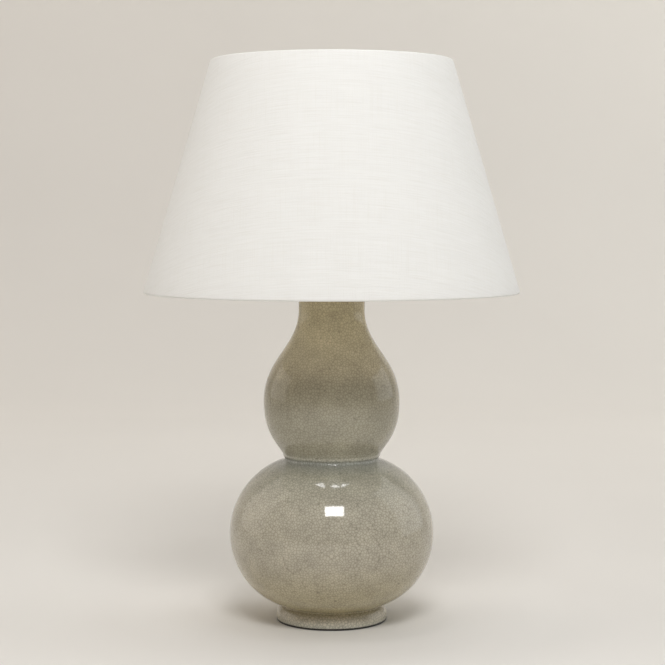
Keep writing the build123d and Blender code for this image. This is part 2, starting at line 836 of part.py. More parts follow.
# The core is moulded, flat on the terminals' sides, with a chamber below for the switch
core_radius = cardboard_bore - core_gap
core_z = holder_start + core_top
terminal_z = holder_start + terminal_height
with BuildPart() as lampholder_core:
    with BuildSketch(Plane.XY.offset(holder_start + core_start)):
        Circle(core_radius)
        Rectangle(2 * core_radius, 2 * core_flat, mode=Mode.INTERSECT)
    extrude(amount=core_top - core_start)
    with BuildSketch(Plane.XY.offset(holder_start + core_start)):
        Rectangle(chamber_length, chamber_width, align=(Align.MIN, Align.CENTER))
    extrude(amount=chamber_top - core_start, mode=Mode.SUBTRACT)
    with BuildSketch(Plane.YZ):
        with Locations((0, switch_z)):
            Circle(shaft_radius + running_clearance)
    extrude(amount=core_radius, mode=Mode.SUBTRACT)
    for side in (-1, 1):
        with BuildSketch(Plane(origin=(0, side * core_flat, terminal_z), z_dir=(0, side, 0))):
            Circle(terminal_shank_radius)
        extrude(amount=-terminal_shank_length, mode=Mode.SUBTRACT)
lampholder_core.part.label = "lampholder_core"
export_step(lampholder_core.part, "parts/lampholder_core.step")

with BuildPart() as terminal_screws:
    for side in (-1, 1):
        head_plane = Plane(origin=(0, side * core_flat, terminal_z), z_dir=(0, side, 0))
        with BuildSketch(head_plane):
            Circle(terminal_head_radius)
        extrude(amount=terminal_head_thickness)
        with BuildSketch(head_plane):
            Circle(terminal_shank_radius)
        extrude(amount=-terminal_shank_length)
        with BuildSketch(head_plane.offset(terminal_head_thickness)):
            Rectangle(2 * terminal_head_radius + terminal_slot, terminal_slot)
        extrude(amount=-terminal_head_thickness / 2, mode=Mode.SUBTRACT)
terminal_screws.part.label = "terminal_screws"
export_step(terminal_screws.part, "parts/terminal_screws.step")

# The bulb's threads and the lampholder's lie ring in ring, a running fit apart
thread_start = bulb_tip + bulb_thread_height
thread_middle = (bulb_thread_root + bulb_thread_crest) / 2
holder_turns = thread_turns - 1
mouth_start = thread_start + holder_turns * thread_pitch
with BuildPart() as screw_shell:
    with BuildSketch(Plane.XZ):
        with BuildLine():
            with BuildLine(mode=Mode.PRIVATE) as screw_path:
                Polyline(
                    (screw_shell_flange, core_z),
                    (thread_middle + thread_fit, core_z),
                    (thread_middle + thread_fit, thread_start),
                )
                thread_wave(
                    bulb_thread_root + thread_fit,
                    bulb_thread_crest + thread_fit,
                    thread_start,
                    holder_turns,
                )
                Polyline(
                    (thread_middle + thread_fit, mouth_start),
                    (bulb_thread_crest + thread_fit, mouth_start),
                    (bulb_thread_crest + thread_fit, holder_start + screw_shell_top),
                )
            add(screw_path.line)
            offset(screw_path.wire(), amount=thread_metal, side=Side.RIGHT)
        make_face()
    revolve(axis=Axis.Z)
screw_shell.part.label = "screw_shell"
export_step(screw_shell.part, "parts/screw_shell.step")

# A strip fixed on the core rises to a tongue under the bulb's contact
with BuildPart() as centre_contact:
    with BuildSketch(Plane.XZ):
        with BuildLine():
            strip_path = Polyline(
                (-contact_reach, core_z),
                (-contact_width / 2, core_z),
                (contact_ramp - contact_width / 2, core_z + contact_height - contact_metal),
                (contact_width / 2, core_z + contact_height - contact_metal),
            )
            offset(strip_path, amount=contact_metal, side=Side.LEFT)
        make_face()
    extrude(amount=contact_width / 2, both=True)
centre_contact.part.label = "centre_contact"
export_step(centre_contact.part, "parts/centre_contact.step")

with BuildPart() as switch_leaf:
    leaf_y = -cam_size * 2**0.5 / 2 - leaf_gap
    leaf_bottom = holder_start + chamber_top - leaf_length
    with BuildSketch(Plane.XY.offset(leaf_bottom)):
        with Locations((shaft_start, leaf_y)):
            Rectangle(cam_length, leaf_thickness, align=(Align.MIN, Align.MAX))
    extrude(amount=leaf_length)
switch_leaf.part.label = "switch_leaf"
export_step(switch_leaf.part, "parts/switch_leaf.step")

# ======================================================================= switch

with BuildPart() as switch_collar:
    with BuildSketch(Plane.YZ.offset(core_radius)):
        with Locations((0, switch_z)):
            annulus(collar_radius, shaft_radius + running_clearance)
    extrude(amount=cup_radius + collar_outside - core_radius)
switch_collar.part.label = "switch_collar"
export_step(switch_collar.part, "parts/switch_collar.step")

with BuildPart() as switch_shaft:
    with BuildSketch(Plane.YZ.offset(shaft_start)):
        with Locations((0, switch_z)):
            Circle(shaft_radius)
    extrude(amount=shaft_length)
switch_shaft.part.label = "switch_shaft"
export_step(switch_shaft.part, "parts/switch_shaft.step")

with BuildPart() as switch_cam:
    with BuildSketch(Plane.YZ.offset(shaft_start)):
        with Locations((0, switch_z)):
            Rectangle(cam_size, cam_size)
            Circle(shaft_radius, mode=Mode.SUBTRACT)
    extrude(amount=cam_length)
switch_cam.part.label = "switch_cam"
export_step(switch_cam.part, "parts/switch_cam.step")

with BuildPart() as switch_knob:
    with BuildSketch(Plane.YZ.offset(knob_start)):
        with Locations((0, switch_z)):
            Circle(knob_radius)
            with PolarLocations(knob_radius, knob_flutes):
                Circle(knob_flute_radius, mode=Mode.SUBTRACT)
    extrude(amount=knob_length)
    fillet(switch_knob.edges().group_by(Axis.X)[-1], knob_flute_radius / 2)
    with BuildSketch(Plane.YZ.offset(knob_start)):
        with Locations((0, switch_z)):
            Circle(shaft_radius)
    extrude(amount=shaft_start + shaft_length - knob_start, mode=Mode.SUBTRACT)
switch_knob.part.label = "switch_knob"
export_step(switch_knob.part, "parts/switch_knob.step")

# ======================================================================= bulb

with BuildPart() as bulb_contact:
    with BuildSketch(Plane.XY.offset(bulb_tip)):
        Circle(tip_radius)
    extrude(amount=tip_thickness)
    fillet(bulb_contact.edges().group_by(Axis.Z)[0], tip_thickness / 2)
bulb_contact.part.label = "bulb_contact"
export_step(bulb_contact.part, "parts/bulb_contact.step")

with BuildPart() as bulb_insulator:
    with BuildSketch(Plane.XZ):
        with BuildLine():
            Polyline(
                (0, bulb_tip + tip_thickness),
                (tip_radius, bulb_tip + tip_thickness),
                (insulator_radius, bulb_tip + insulator_height),
                (0, bulb_tip + insulator_height),
                close=True,
            )
        make_face()
    revolve(axis=Axis.Z)
bulb_insulator.part.label = "bulb_insulator"
export_step(bulb_insulator.part, "parts/bulb_insulator.step")

with BuildPart() as bulb_cap:
    with BuildSketch(Plane.XZ):
        with BuildLine():
            with BuildLine(mode=Mode.PRIVATE) as cap_wall:
                Line(
                    (insulator_radius, bulb_tip + insulator_height), (thread_middle, thread_start)
                )
                thread_wave(bulb_thread_root, bulb_thread_crest, thread_start, thread_turns)
                Polyline(
                    (thread_middle, thread_start + thread_turns * thread_pitch),
                    (bulb_skirt_radius, bulb_tip + bulb_skirt_start),
                    (bulb_skirt_radius, bulb_tip + bulb_skirt_top),
                )
            add(cap_wall.line)
            offset(cap_wall.wire(), amount=thread_metal, side=Side.LEFT)
        make_face()
    revolve(axis=Axis.Z)
bulb_cap.part.label = "bulb_cap"
export_step(bulb_cap.part, "parts/bulb_cap.step")

# The envelope: a neck that swells into a ball
neck_z = bulb_tip + bulb_neck_height
ball_z = bulb_tip + bulb_length - bulb_radius


def envelope(inset):
    """Draw the bulb's outline from its neck to the top of its ball, moved in by a thickness."""
    neck = (bulb_neck_radius - inset, neck_z)
    belly = (bulb_radius - inset, ball_z)
    Bezier(neck, reach(neck, bulb_neck_reach, 90), reach(belly, bulb_belly_reach, -90), belly)
    CenterArc((0, ball_z), bulb_radius - inset, 0, 90)


with BuildPart() as bulb_glass:
    with BuildSketch(Plane.XZ):
        with BuildLine():
            envelope(0)
            envelope(glass_thickness)
            Line((bulb_neck_radius, neck_z), (bulb_neck_radius - glass_thickness, neck_z))
            Line((0, ball_z + bulb_radius), (0, ball_z + bulb_radius - glass_thickness))
        make_face()
    revolve(axis=Axis.Z)
bulb_glass.part.label = "bulb_glass"
export_step(bulb_glass.part, "parts/bulb_glass.step")

stem_flare_radius = bulb_neck_radius - glass_thickness - stem_flare_gap
stem_top = bulb_tip + stem_height
with BuildPart() as bulb_stem:
    with BuildSketch(Plane.XZ):
        with BuildLine():
            Polyline(
                (stem_radius, neck_z + stem_flare_height),
                (stem_radius, stem_top),
                (0, stem_top),
                (0, neck_z),
                (stem_flare_radius, neck_z),
            )
            flare_foot = (stem_flare_radius, neck_z)
            flare_top = (stem_radius, neck_z + stem_flare_height)
            Bezier(
                flare_foot,
                reach(flare_foot, stem_flare_height / 2, 90),
                reach(flare_top, stem_flare_height / 2, -90),
                flare_top,
            )
        make_face()
    revolve(axis=Axis.Z)
bulb_stem.part.label = "bulb_stem"
export_step(bulb_stem.part, "parts/bulb_stem.step")

with BuildPart() as bulb_leads:
    for side in (-1, 1):
        with BuildLine(Plane.XZ) as lead_path:
            FilletPolyline(
                (side * lead_inset, stem_top),
                (side * lead_inset, stem_top + lead_bend),
                (side * lead_spread, stem_top + lead_rise),
                radius=lead_bend / 2,
            )
        with BuildSketch(Plane(origin=(side * lead_inset, 0, stem_top), z_dir=(0, 0, 1))):
            Circle(lead_radius)
        sweep(path=lead_path.wire())
bulb_leads.part.label = "bulb_leads"
export_step(bulb_leads.part, "parts/bulb_leads.step")

# The filament is a fine coil, kept as the wire-thin tube that it fills
filament_z = stem_top + lead_rise + filament_radius
with BuildPart() as bulb_filament:
    with BuildLine(Plane.XY.offset(filament_z)) as filament_path:
        ThreePointArc((-lead_spread, 0), (0, -lead_spread), (lead_spread, 0))
    with BuildSketch(Plane(origin=(-lead_spread, 0, filament_z), z_dir=(0, -1, 0))):
        Circle(filament_radius)
    sweep(path=filament_path.wire())
bulb_filament.part.label = "bulb_filament"
export_step(bulb_filament.part, "parts/bulb_filament.step")
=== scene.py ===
# %% [markdown]
# # A double gourd lamp
# The lamp was drawn in CAD first: a ceramic gourd on a felt pad, brass fittings, a bulb, and a
# linen shade that hangs from a harp.  This script loads those solids as a fixed frame.  Each one
# that shows is then dressed with a smooth surface in exactly the same place, and every solid and
# surface gets a finish made of shader nodes.

# %% Load the CAD frame
import json
from math import radians, tau

import bmesh
import bpy
import numpy as np
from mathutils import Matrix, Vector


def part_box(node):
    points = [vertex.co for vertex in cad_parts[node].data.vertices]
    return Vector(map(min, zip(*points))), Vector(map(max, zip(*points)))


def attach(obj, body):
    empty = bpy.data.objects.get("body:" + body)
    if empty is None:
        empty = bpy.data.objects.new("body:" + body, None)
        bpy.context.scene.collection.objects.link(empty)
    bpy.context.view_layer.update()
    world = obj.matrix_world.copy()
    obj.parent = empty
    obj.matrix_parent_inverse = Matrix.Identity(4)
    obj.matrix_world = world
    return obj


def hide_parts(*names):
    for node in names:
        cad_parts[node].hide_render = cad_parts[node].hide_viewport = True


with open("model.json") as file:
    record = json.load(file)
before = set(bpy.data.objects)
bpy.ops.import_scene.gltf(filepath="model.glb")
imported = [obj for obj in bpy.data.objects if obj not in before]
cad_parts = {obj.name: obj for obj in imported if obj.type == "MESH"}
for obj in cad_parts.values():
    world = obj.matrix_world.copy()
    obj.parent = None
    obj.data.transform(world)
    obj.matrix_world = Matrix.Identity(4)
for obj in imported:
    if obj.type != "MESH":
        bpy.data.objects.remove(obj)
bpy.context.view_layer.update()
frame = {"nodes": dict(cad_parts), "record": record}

mm = 0.001

# %% [markdown]
# ## Camera
# The lamp is seen from two metres away, from a little above the waist, through a long lens that
# keeps its sides from leaning.  A pinhole camera with no shift needs only a place, a pitch and a
# lens.  The camera comes first, because every later choice is judged through it.

# %% Put things in the scene
def put_in_scene(name, data):
    """An object round its mesh, light or camera data, linked to the scene."""
    item = bpy.data.objects.new(name, data)
    bpy.context.collection.objects.link(item)
    return item


# %% Place the camera
camera_distance = 2103 * mm
camera_height = 485.2 * mm
camera_side = 1.0 * mm
camera_pitch = 3.743  # degrees below level
lens_length = 95.0
sensor_width = 36.0

camera_data = bpy.data.cameras.new("camera")
camera_data.lens = lens_length
camera_data.sensor_width = sensor_width
camera = put_in_scene("camera", camera_data)
camera.location = (camera_side, -camera_distance, camera_height)
camera.rotation_euler = (radians(90 - camera_pitch), 0, 0)
bpy.context.scene.camera = camera
print("camera height:", camera_height, "distance:", camera_distance)

# %% [markdown]
# ## Building surfaces
# Nearly every piece of a lamp is turned, spun or bent from wire.  All of these are one idea: a
# grid of points that follows a formula, with a quad in every cell.  A turned piece is a profile
# carried round an axis, and a bent wire is a ring carried along a path.  Blender's Spin and
# Screw tools could do the same, but arrays keep the sizes exact and in plain view.

# %% Quads over a grid
def grid_surface(points, loop_rows=False, loop_columns=True, uv=None):
    """Points in rows and columns, with a quad from each to its next row and column.

    A loop joins the last row or column to the first.  uv has one more column, and one more row
    in a loop of rows, so that the pattern runs on over the join.
    """
    rows, columns = points.shape[:2]
    row, column = np.meshgrid(
        np.arange(rows if loop_rows else rows - 1),
        np.arange(columns if loop_columns else columns - 1),
        indexing="ij",
    )
    next_row, next_column = (row + 1) % rows, (column + 1) % columns
    quads = np.stack(
        [
            row * columns + column,
            row * columns + next_column,
            next_row * columns + next_column,
            next_row * columns + column,
        ],
        axis=-1,
    ).reshape(-1, 4)
    corners = None
    if uv is not None:
        corners = np.stack(
            [uv[row, column], uv[row, column + 1], uv[row + 1, column + 1], uv[row + 1, column]],
            axis=2,
        ).reshape(-1, 2)
    return points.reshape(-1, 3), quads, corners


# %% [markdown]
# A profile is a list of points (radius, height).  Turned about Z it is a vase or a ring.  The
# switch is turned about X and the inlet's grommet about Y, with the same function.

# %% Turn a profile
def turned(profile, turns=96, axis="Z", centre=(0, 0, 0), closed=False, bulge=None):
    """Carry a profile round an axis: each point goes to radius x (cos angle, sin angle).

    bulge, if given, changes the radii: it takes the arrays of radii, heights and angles.
    """
    angle = np.arange(turns) * tau / turns
    radius, height, angle = np.broadcast_arrays(profile[:, :1], profile[:, 1:], angle[None, :])
    if bulge is not None:
        radius = bulge(radius, height, angle)
    across, up = radius * np.cos(angle), radius * np.sin(angle)
    order = {"Z": (across, up, height), "Y": (up, height, across), "X": (height, across, up)}
    points = np.stack(order[axis], axis=-1) + np.array(centre)
    return grid_surface(points, loop_rows=closed)


# %% [markdown]
# Real edges are never perfectly sharp: a small rounding is what catches the light.  The same
# rounding turns the corners of a bent wire, so one function serves both.

# %% Measures along a path
def unit(vectors):
    """Each row of vectors divided by its own length."""
    return vectors / np.linalg.norm(vectors, axis=1, keepdims=True)


def running_length(path):
    """How far along a path each of its points lies, starting from 0."""
    return np.concatenate([[0], np.cumsum(np.linalg.norm(np.diff(path, axis=0), axis=1))])


def circle_points(centre, radius, angle):
    """Points at angles on a circle: centre + radius x (cos angle, sin angle)."""
    return np.array(centre) + radius * np.stack([np.cos(angle), np.sin(angle)], axis=-1)


# %% Round the corners of a path
def rounded(corners, radii, steps=8, closed=False):
    """Replace corners by arcs: each arc starts and ends at radius x tan(half the turn) away.

    Its points are centre - normal x cos + heading x sin of the turned angle, times the radius.
    """
    corners = np.array(corners, dtype=float)
    radii = np.broadcast_to(radii, len(corners) if closed else len(corners) - 2)
    before = np.roll(corners, 1, axis=0) if closed else corners[:-2]
    here = corners if closed else corners[1:-1]
    after = np.roll(corners, -1, axis=0) if closed else corners[2:]
    heading, leaving = unit(here - before), unit(after - here)
    cosine = np.clip(np.sum(heading * leaving, axis=1, keepdims=True), -1, 1)
    turn = np.arccos(cosine)
    normal = (leaving - heading * cosine) / np.maximum(np.sin(turn), 1e-9)
    radius = radii[:, None]
    start = here - heading * radius * np.tan(turn / 2)
    centre = start + normal * radius
    swept = np.linspace(0, 1, steps)[None, :, None] * turn[:, None]
    arcs = (
        centre[:, None]
        - normal[:, None] * (radius[:, None] * np.cos(swept))
        + heading[:, None] * (radius[:, None] * np.sin(swept))
    ).reshape(-1, corners.shape[1])
    return arcs if closed else np.vstack([corners[:1], arcs, corners[-1:]])


def soft_ring(inner, outer, low, high, soft, steps=8):
    """The section of a ring with soft edges, or of a disc where its inner radius is 0."""
    corners = [(inner, low), (outer, low), (outer, high), (inner, high)]
    return rounded(corners, soft, steps, closed=inner > 0)


# %% Carry a round section along a flat path
def bent_wire(path, radius, flat_normal, sides=20):
    """A tube round a path that lies in one plane: each ring is spanned by the plane's normal
    and by the direction across the path, and each end is closed on its middle point."""
    forward = unit(np.gradient(path, axis=0))
    normal = np.array(flat_normal, dtype=float)
    across = np.cross(forward, normal)
    angle = np.arange(sides) * tau / sides
    radius = np.broadcast_to(radius, (len(path), 2))[:, None, :]
    rings = (
        path[:, None]
        + np.cos(angle)[None, :, None] * radius[..., :1] * normal
        + np.sin(angle)[None, :, None] * radius[..., 1:] * across[:, None]
    )
    ends = np.repeat(path[[0, -1], None], sides, axis=1)
    return grid_surface(np.concatenate([ends[:1], rings, ends[1:]]))


# %% [markdown]
# One function puts surfaces into Blender.  It joins them in a mesh, merges the points that meet
# at a pole, turns the faces outwards, and says which body the piece moves with and which CAD
# solids it stands for.

# %% Where a CAD solid starts and ends
def ends_of(node, axis="Z"):
    """The lowest and highest coordinate of a CAD solid along an axis."""
    return [corner["XYZ".index(axis)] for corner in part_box(node)]


# %% Make a piece
finishes = {}


def add_piece(name, surfaces, slot, body, stands_for=(), sharp=40):
    """Join surfaces in one smooth mesh; edges that turn more than the sharp angle stay sharp."""
    starts = np.cumsum([0] + [len(points) for points, quads, uv in surfaces])
    points = np.vstack([points for points, quads, uv in surfaces])
    quads = np.vstack([quads + start for (_, quads, _), start in zip(surfaces, starts)])
    mesh = bpy.data.meshes.new(name)
    mesh.from_pydata(points, [], quads, shade_flat=False)
    if surfaces[0][2] is not None:
        layer = mesh.uv_layers.new(name="cloth")
        layer.data.foreach_set("uv", np.vstack([uv for _, _, uv in surfaces]).ravel())
    work = bmesh.new()
    work.from_mesh(mesh)
    bmesh.ops.remove_doubles(work, verts=work.verts, dist=0.001 * mm)
    bmesh.ops.recalc_face_normals(work, faces=work.faces)
    work.to_mesh(mesh)
    work.free()
    mesh.set_sharp_from_angle(angle=radians(sharp))
    mesh.materials.append(finishes[slot])
    piece = put_in_scene(name, mesh)
    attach(piece, body)
    if stands_for:
        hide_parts(*stands_for)
    print(name, "faces:", len(mesh.polygons))
    return piece


# %% [markdown]
# ## Building finishes
# A finish is a node tree round one Principled shader.  Numbers that stay the same all over are
# set on the shader itself.  What varies, such as colour, roughness and bump, comes from noise
# that reads Object coordinates, so the pattern is fixed to the piece and measured in metres.

# %% Helpers for node trees
def start_finish(slot, colour, roughness, **constants):
    """A material with one Principled shader, its constants set on the shader's own sockets."""
    finish = finishes[slot] = bpy.data.materials.new(slot + "_finish")
    finish.use_nodes = True
    shader = finish.node_tree.nodes["Principled BSDF"]
    shader.inputs["Base Color"].default_value = (*colour, 1)
    shader.inputs["Roughness"].default_value = roughness
    for socket, value in constants.items():
        shader.inputs[socket.replace("_", " ")].default_value = value
    finish.diffuse_color = (*colour, 1)
    return finish


def add_node(finish, kind, feeds=None, **options):
    """Add a shader node: options are its own settings, and feeds fill or link its sockets."""
    node = finish.node_tree.nodes.new("ShaderNode" + kind)
    for option, value in options.items():
        setattr(node, option, value)
    for socket, value in (feeds or {}).items():
        if isinstance(value, bpy.types.NodeSocket):
            finish.node_tree.links.new(value, node.inputs[socket])
        else:
            node.inputs[socket].default_value = value
    return node


def feed_shader(finish, **sources):
    """Link outputs to the Principled shader's sockets."""
    shader = finish.node_tree.nodes["Principled BSDF"]
    for socket, source in sources.items():
        finish.node_tree.links.new(source, shader.inputs[socket.replace("_", " ")])


# %% Helpers for patterns
def place_on(finish, stretch=(1, 1, 1), source="Object"):
    """Object or UV coordinates in metres, stretched along each axis."""
    place = add_node(finish, "TexCoord").outputs[source]
    return add_node(finish, "Mapping", {"Vector": place, "Scale": stretch}).outputs["Vector"]


def speckle(finish, place, grain, detail=3.0, rough=0.5):
    """Noise from 0 to 1 whose lumps are about one grain, in metres, across."""
    feeds = {"Vector": place, "Scale": 1 / grain, "Detail": detail, "Roughness": rough}
    return add_node(finish, "TexNoise", feeds).outputs["Fac"]


def scaled(finish, value, low, high, start=0.0, end=1.0):
    """Carry a value from one range to another in a straight line, and hold it at the ends."""
    feeds = {"Value": value, "From Min": start, "From Max": end, "To Min": low, "To Max": high}
    return add_node(finish, "MapRange", feeds).outputs["Result"]


def combined(finish, kind, first, second):
    """Two numbers put together by a Math node's operation."""
    return add_node(finish, "Math", {0: first, 1: second}, operation=kind).outputs[0]


def blended(finish, amount, first, second, kind="MIX"):
    """Two colours, mixed by an amount."""
    feeds = {0: amount, 6: first, 7: second}
    node = add_node(finish, "Mix", feeds, data_type="RGBA", blend_type=kind)
    return node.outputs[2]


def tinted(finish, colour, factor):
    """A colour multiplied by a factor from 0 up, number or colour."""
    return blended(finish, 1.0, colour, factor, "MULTIPLY")


def banded(finish, value, stops):
    """Colours along a value, from a list of (position, colour) stops."""
    node = add_node(finish, "ValToRGB", {"Fac": value})
    elements = node.color_ramp.elements
    while len(elements) < len(stops):
        elements.new(0.5)
    for element, (position, colour) in zip(elements, stops):
        element.position = position
        element.color = (*colour, 1)
    return node.outputs["Color"]


def embossed(finish, height, distance, strength=1.0):
    """A bump whose full height stands for a distance in metres."""
    feeds = {"Height": height, "Distance": distance, "Strength": strength}
    feed_shader(finish, Normal=add_node(finish, "Bump", feeds).outputs["Normal"])


# %% [markdown]
# ## The studio
# A pale sheet that curves up from the floor to a wall gives the plain seamless ground of a
# product photograph.  It is one profile carried sideways, over a wider floor for the views from
# the sides and behind.

# %% Floor and wall in one sweep
sweep_front, sweep_back, sweep_half_width, sweep_height = -4.0, 3.6, 4.2, 4.5
sweep_bend = 1.4
paper_colour, paper_change = np.array([0.775, 0.757, 0.73]), 0.015
far_floor_half, far_floor_drop = 14.0, 1 * mm

paper = start_finish("backdrop_paper", paper_colour, 0.9, Specular_IOR_Level=0.2)
paper_clouds = speckle(paper, place_on(paper), 900 * mm)
paper_stops = [(0.3, paper_colour * (1 - paper_change)), (0.7, paper_colour * (1 + paper_change))]
feed_shader(paper, Base_Color=banded(paper, paper_clouds, paper_stops))
sweep_corners = [(sweep_front, 0), (sweep_back, 0), (sweep_back, sweep_height)]
side_view = rounded(sweep_corners, sweep_bend, 32)
width = np.array([-sweep_half_width, sweep_half_width])
sweep_points = np.stack(
    np.broadcast_arrays(width[None, :], side_view[:, :1], side_view[:, 1:]), axis=-1
)
far_edge = np.array([-far_floor_half, far_floor_half])
far_points = np.stack(
    np.broadcast_arrays(far_edge[None, :], far_edge[:, None], -far_floor_drop), axis=-1
)
for name, surface_points in (("backdrop", sweep_points), ("far_floor", far_points)):
    points, quads, _ = grid_surface(surface_points, loop_columns=False)
    stage_mesh = bpy.data.meshes.new(name)
    stage_mesh.from_pydata(points, [], quads, shade_flat=False)
    stage_mesh.materials.append(paper)
    stage_piece = put_in_scene(name, stage_mesh)
    print(name, "faces:", len(quads))

# %% [markdown]
# ## Light
# Glossy glaze is a mirror for the studio, so each lamp is drawn on it as well as lighting it.
# One softbox high in front makes the bright window on the lower belly, and stands too high for
# the upper bulb to see it past the shade.  Three lamps overhead shine down through the shade's
# top and make the little glints above it.  Two more wash the wall and can't be seen in the glaze.

# %% Lamps of the studio
def turn_towards(direction):
    """The turn that points a light's -Z along a direction, with its width level."""
    pitch = np.arctan2(np.hypot(direction[0], direction[1]), -direction[2])
    return (pitch, 0, np.arctan2(direction[1], direction[0]) - np.pi / 2)


def add_light(name, place, aim, size, power, colour=(1, 1, 1)):
    """A rectangular area light at a place, turned to face an aim."""
    data = bpy.data.lights.new(name, "AREA")
    data.shape = "RECTANGLE"
    data.size, data.size_y = size
    data.energy = power
    data.color = colour
    light = put_in_scene(name, data)
    light.location = place
    light.rotation_euler = turn_towards(np.subtract(aim, place))
    light.visible_camera = False


belly, shoulder = (0, -0.1, 0.15), (0, -0.09, 0.175)
studio_lights = {
    # name: place, aim and size in metres, power in watts, colour where it isn't white
    "softbox_front": ((0.123, -1.744, 1.905), belly, (0.82, 0.62), 27, (1, 0.995, 0.985)),
    "overhead_left": ((-0.365, -0.155, 2.2), shoulder, (0.40, 0.34), 2.9),
    "overhead_middle": ((0.14, -0.21, 2.2), shoulder, (0.19, 0.32), 1.3),
    "overhead_right": ((0.42, -0.08, 2.2), shoulder, (0.2, 0.28), 1.3),
    "wash_left": ((-1.8, 1.3, 2.5), (-1.5, 3.6, 1.5), (1.4, 0.9), 21.5, (1, 0.925, 0.85)),
    "wash_right": ((1.8, 1.3, 2.5), (1.5, 3.6, 1.5), (1.4, 0.9), 34, (1, 0.985, 0.935)),
}
for name, settings in studio_lights.items():
    add_light(name, *settings)

# %% [markdown]
# The room itself is dark in front, where the camera stands, and pale at the sides and behind.
# That gives each belly a darker middle with lighter edges.  The world's colour depends on the
# direction alone: the share that points forwards decides between the two.  A view straight into
# the room sees a pale haze that starts as grey as the far paper, so that no hard edge shows.

# %% Room
room = bpy.data.worlds.new("room")
room.use_nodes = True
front_glow, back_glow, front_end, back_start = 0.29, 1.13, -0.16, -0.02
edge_direction, edge_half_width, edge_dimming = 0.63, 0.022, 0.5

level_direction = add_node(
    room, "VectorMath", {0: place_on(room, (1, 1, 0))}, operation="NORMALIZE"
)
sideways = add_node(room, "SeparateXYZ", {"Vector": level_direction.outputs[0]})
to_right, to_back = sideways.outputs["X"], sideways.outputs["Y"]
edge_feeds = {0: to_back, 1: edge_direction, 2: edge_half_width}
paper_edge = add_node(room, "Math", edge_feeds, operation="COMPARE").outputs[0]
brightness = combined(
    room, "SUBTRACT",
    scaled(room, to_back, front_glow, back_glow, front_end, back_start),
    combined(room, "MULTIPLY", paper_edge, edge_dimming),
)
wall_colour = blended(
    room, scaled(room, to_right, 0, 1, -1, 1), (0.86, 0.79, 0.70, 1), (0.92, 0.92, 0.90, 1)
)
lit = add_node(room, "Background", {"Color": wall_colour, "Strength": brightness})
upwards = add_node(room, "SeparateXYZ", {"Vector": place_on(room)}).outputs["Z"]
haze = blended(
    room, scaled(room, upwards, 0, 1, 0.0, 0.16), (0.60, 0.585, 0.545, 1), (0.66, 0.64, 0.59, 1)
)
seen = add_node(room, "Background", {"Color": haze, "Strength": 1.0})
looked_at = add_node(room, "LightPath").outputs["Is Camera Ray"]
mixed_room = add_node(room, "MixShader", {0: looked_at, 1: lit.outputs[0], 2: seen.outputs[0]})
room.node_tree.links.new(mixed_room.outputs[0], room.node_tree.nodes["World Output"].inputs[0])
bpy.context.scene.world = room
bpy.context.scene.view_settings.view_transform = "Standard"
print("world nodes:", len(room.node_tree.nodes))

# %% [markdown]
# ## The gourd
# The body was thrown on a wheel in sections: a foot ring, a lower bulb, and an upper bulb with
# its neck.  Its side is a chain of curves that run smoothly into each other, except at the foot
# and at the waist, where two sections meet in a crease.  A Bezier curve needs only the size,
# the place and the lean at each end, which are the things a potter thinks of too.

# %% Sizes of the gourd
foot_start = ends_of("gourd_foot")[0]
waist_height, neck_top = ends_of("gourd_upper")
foot_base_radius, foot_bulge_radius, foot_bulge_height = 66.6 * mm, 67.0 * mm, 7.0 * mm
foot_neck = np.array([60.6, 19.2]) * mm
lower_belly = np.array([123.0, 106.0]) * mm
waist = np.array([55.0 * mm, waist_height])
upper_belly = np.array([81.8, 264.9]) * mm
neck_start = np.array([39.8, 374.9]) * mm
ceramic_wall, foot_wall = 6.0 * mm, 11.6 * mm
centre_hole_radius = 6.5 * mm
gourd_curves = [
    (foot_neck, 19.4, 52.0 * mm, lower_belly, 90, 28.0 * mm),
    (lower_belly, 90, 45.5 * mm, waist, 166.9, 35.6 * mm),
    (waist, 64.9, 21.9 * mm, upper_belly, 90, 42.2 * mm),
    (upper_belly, 90, 52.6 * mm, neck_start, 90, 43.9 * mm),
]
print("gourd from", foot_start, "to", neck_top)


# %% Curves of the gourd's side
def heading(angle):
    """One unit along an angle above the horizontal, as (radius, height)."""
    return np.array([np.cos(radians(angle)), np.sin(radians(angle))])


def bezier(start, start_pull, end_pull, end, steps=48):
    """A cubic Bezier: the four points weighed by (1-t)^3, 3t(1-t)^2, 3t^2(1-t) and t^3."""
    t = np.linspace(0, 1, steps)[:, None]
    weights = np.hstack([(1 - t) ** 3, 3 * t * (1 - t) ** 2, 3 * t**2 * (1 - t), t**3])
    return weights @ np.array([start, start_pull, end_pull, end])


def side_curve(inset, start, start_angle, start_reach, end, end_angle, end_reach, steps=48):
    """One curve of the side, moved in by a wall; its pulls shrink as its chord does."""
    first = start + inset * heading(start_angle + 90)
    last = end + inset * heading(end_angle + 90)
    scale = np.linalg.norm(last - first) / np.linalg.norm(end - start)
    first_pull = first + start_reach * scale * heading(start_angle)
    last_pull = last - end_reach * scale * heading(end_angle)
    return bezier(first, first_pull, last_pull, last, steps)


def arc_through(start, middle, end, steps=16):
    """Points on the circle through three points, found from their perpendicular bisectors."""
    start, middle, end = (np.array(p, dtype=float) for p in (start, middle, end))
    rows = 2 * np.array([middle - start, end - start])
    centre = np.linalg.solve(rows, [middle @ middle - start @ start, end @ end - start @ start])
    radius = np.linalg.norm(start - centre)
    first, through, last = (np.arctan2(*(p - centre)[::-1]) for p in (start, middle, end))
    through = first + (through - first + np.pi) % tau - np.pi
    last = first + (last - first) % (tau * np.sign(through - first))
    return circle_points(centre, radius, np.linspace(first, last, steps))


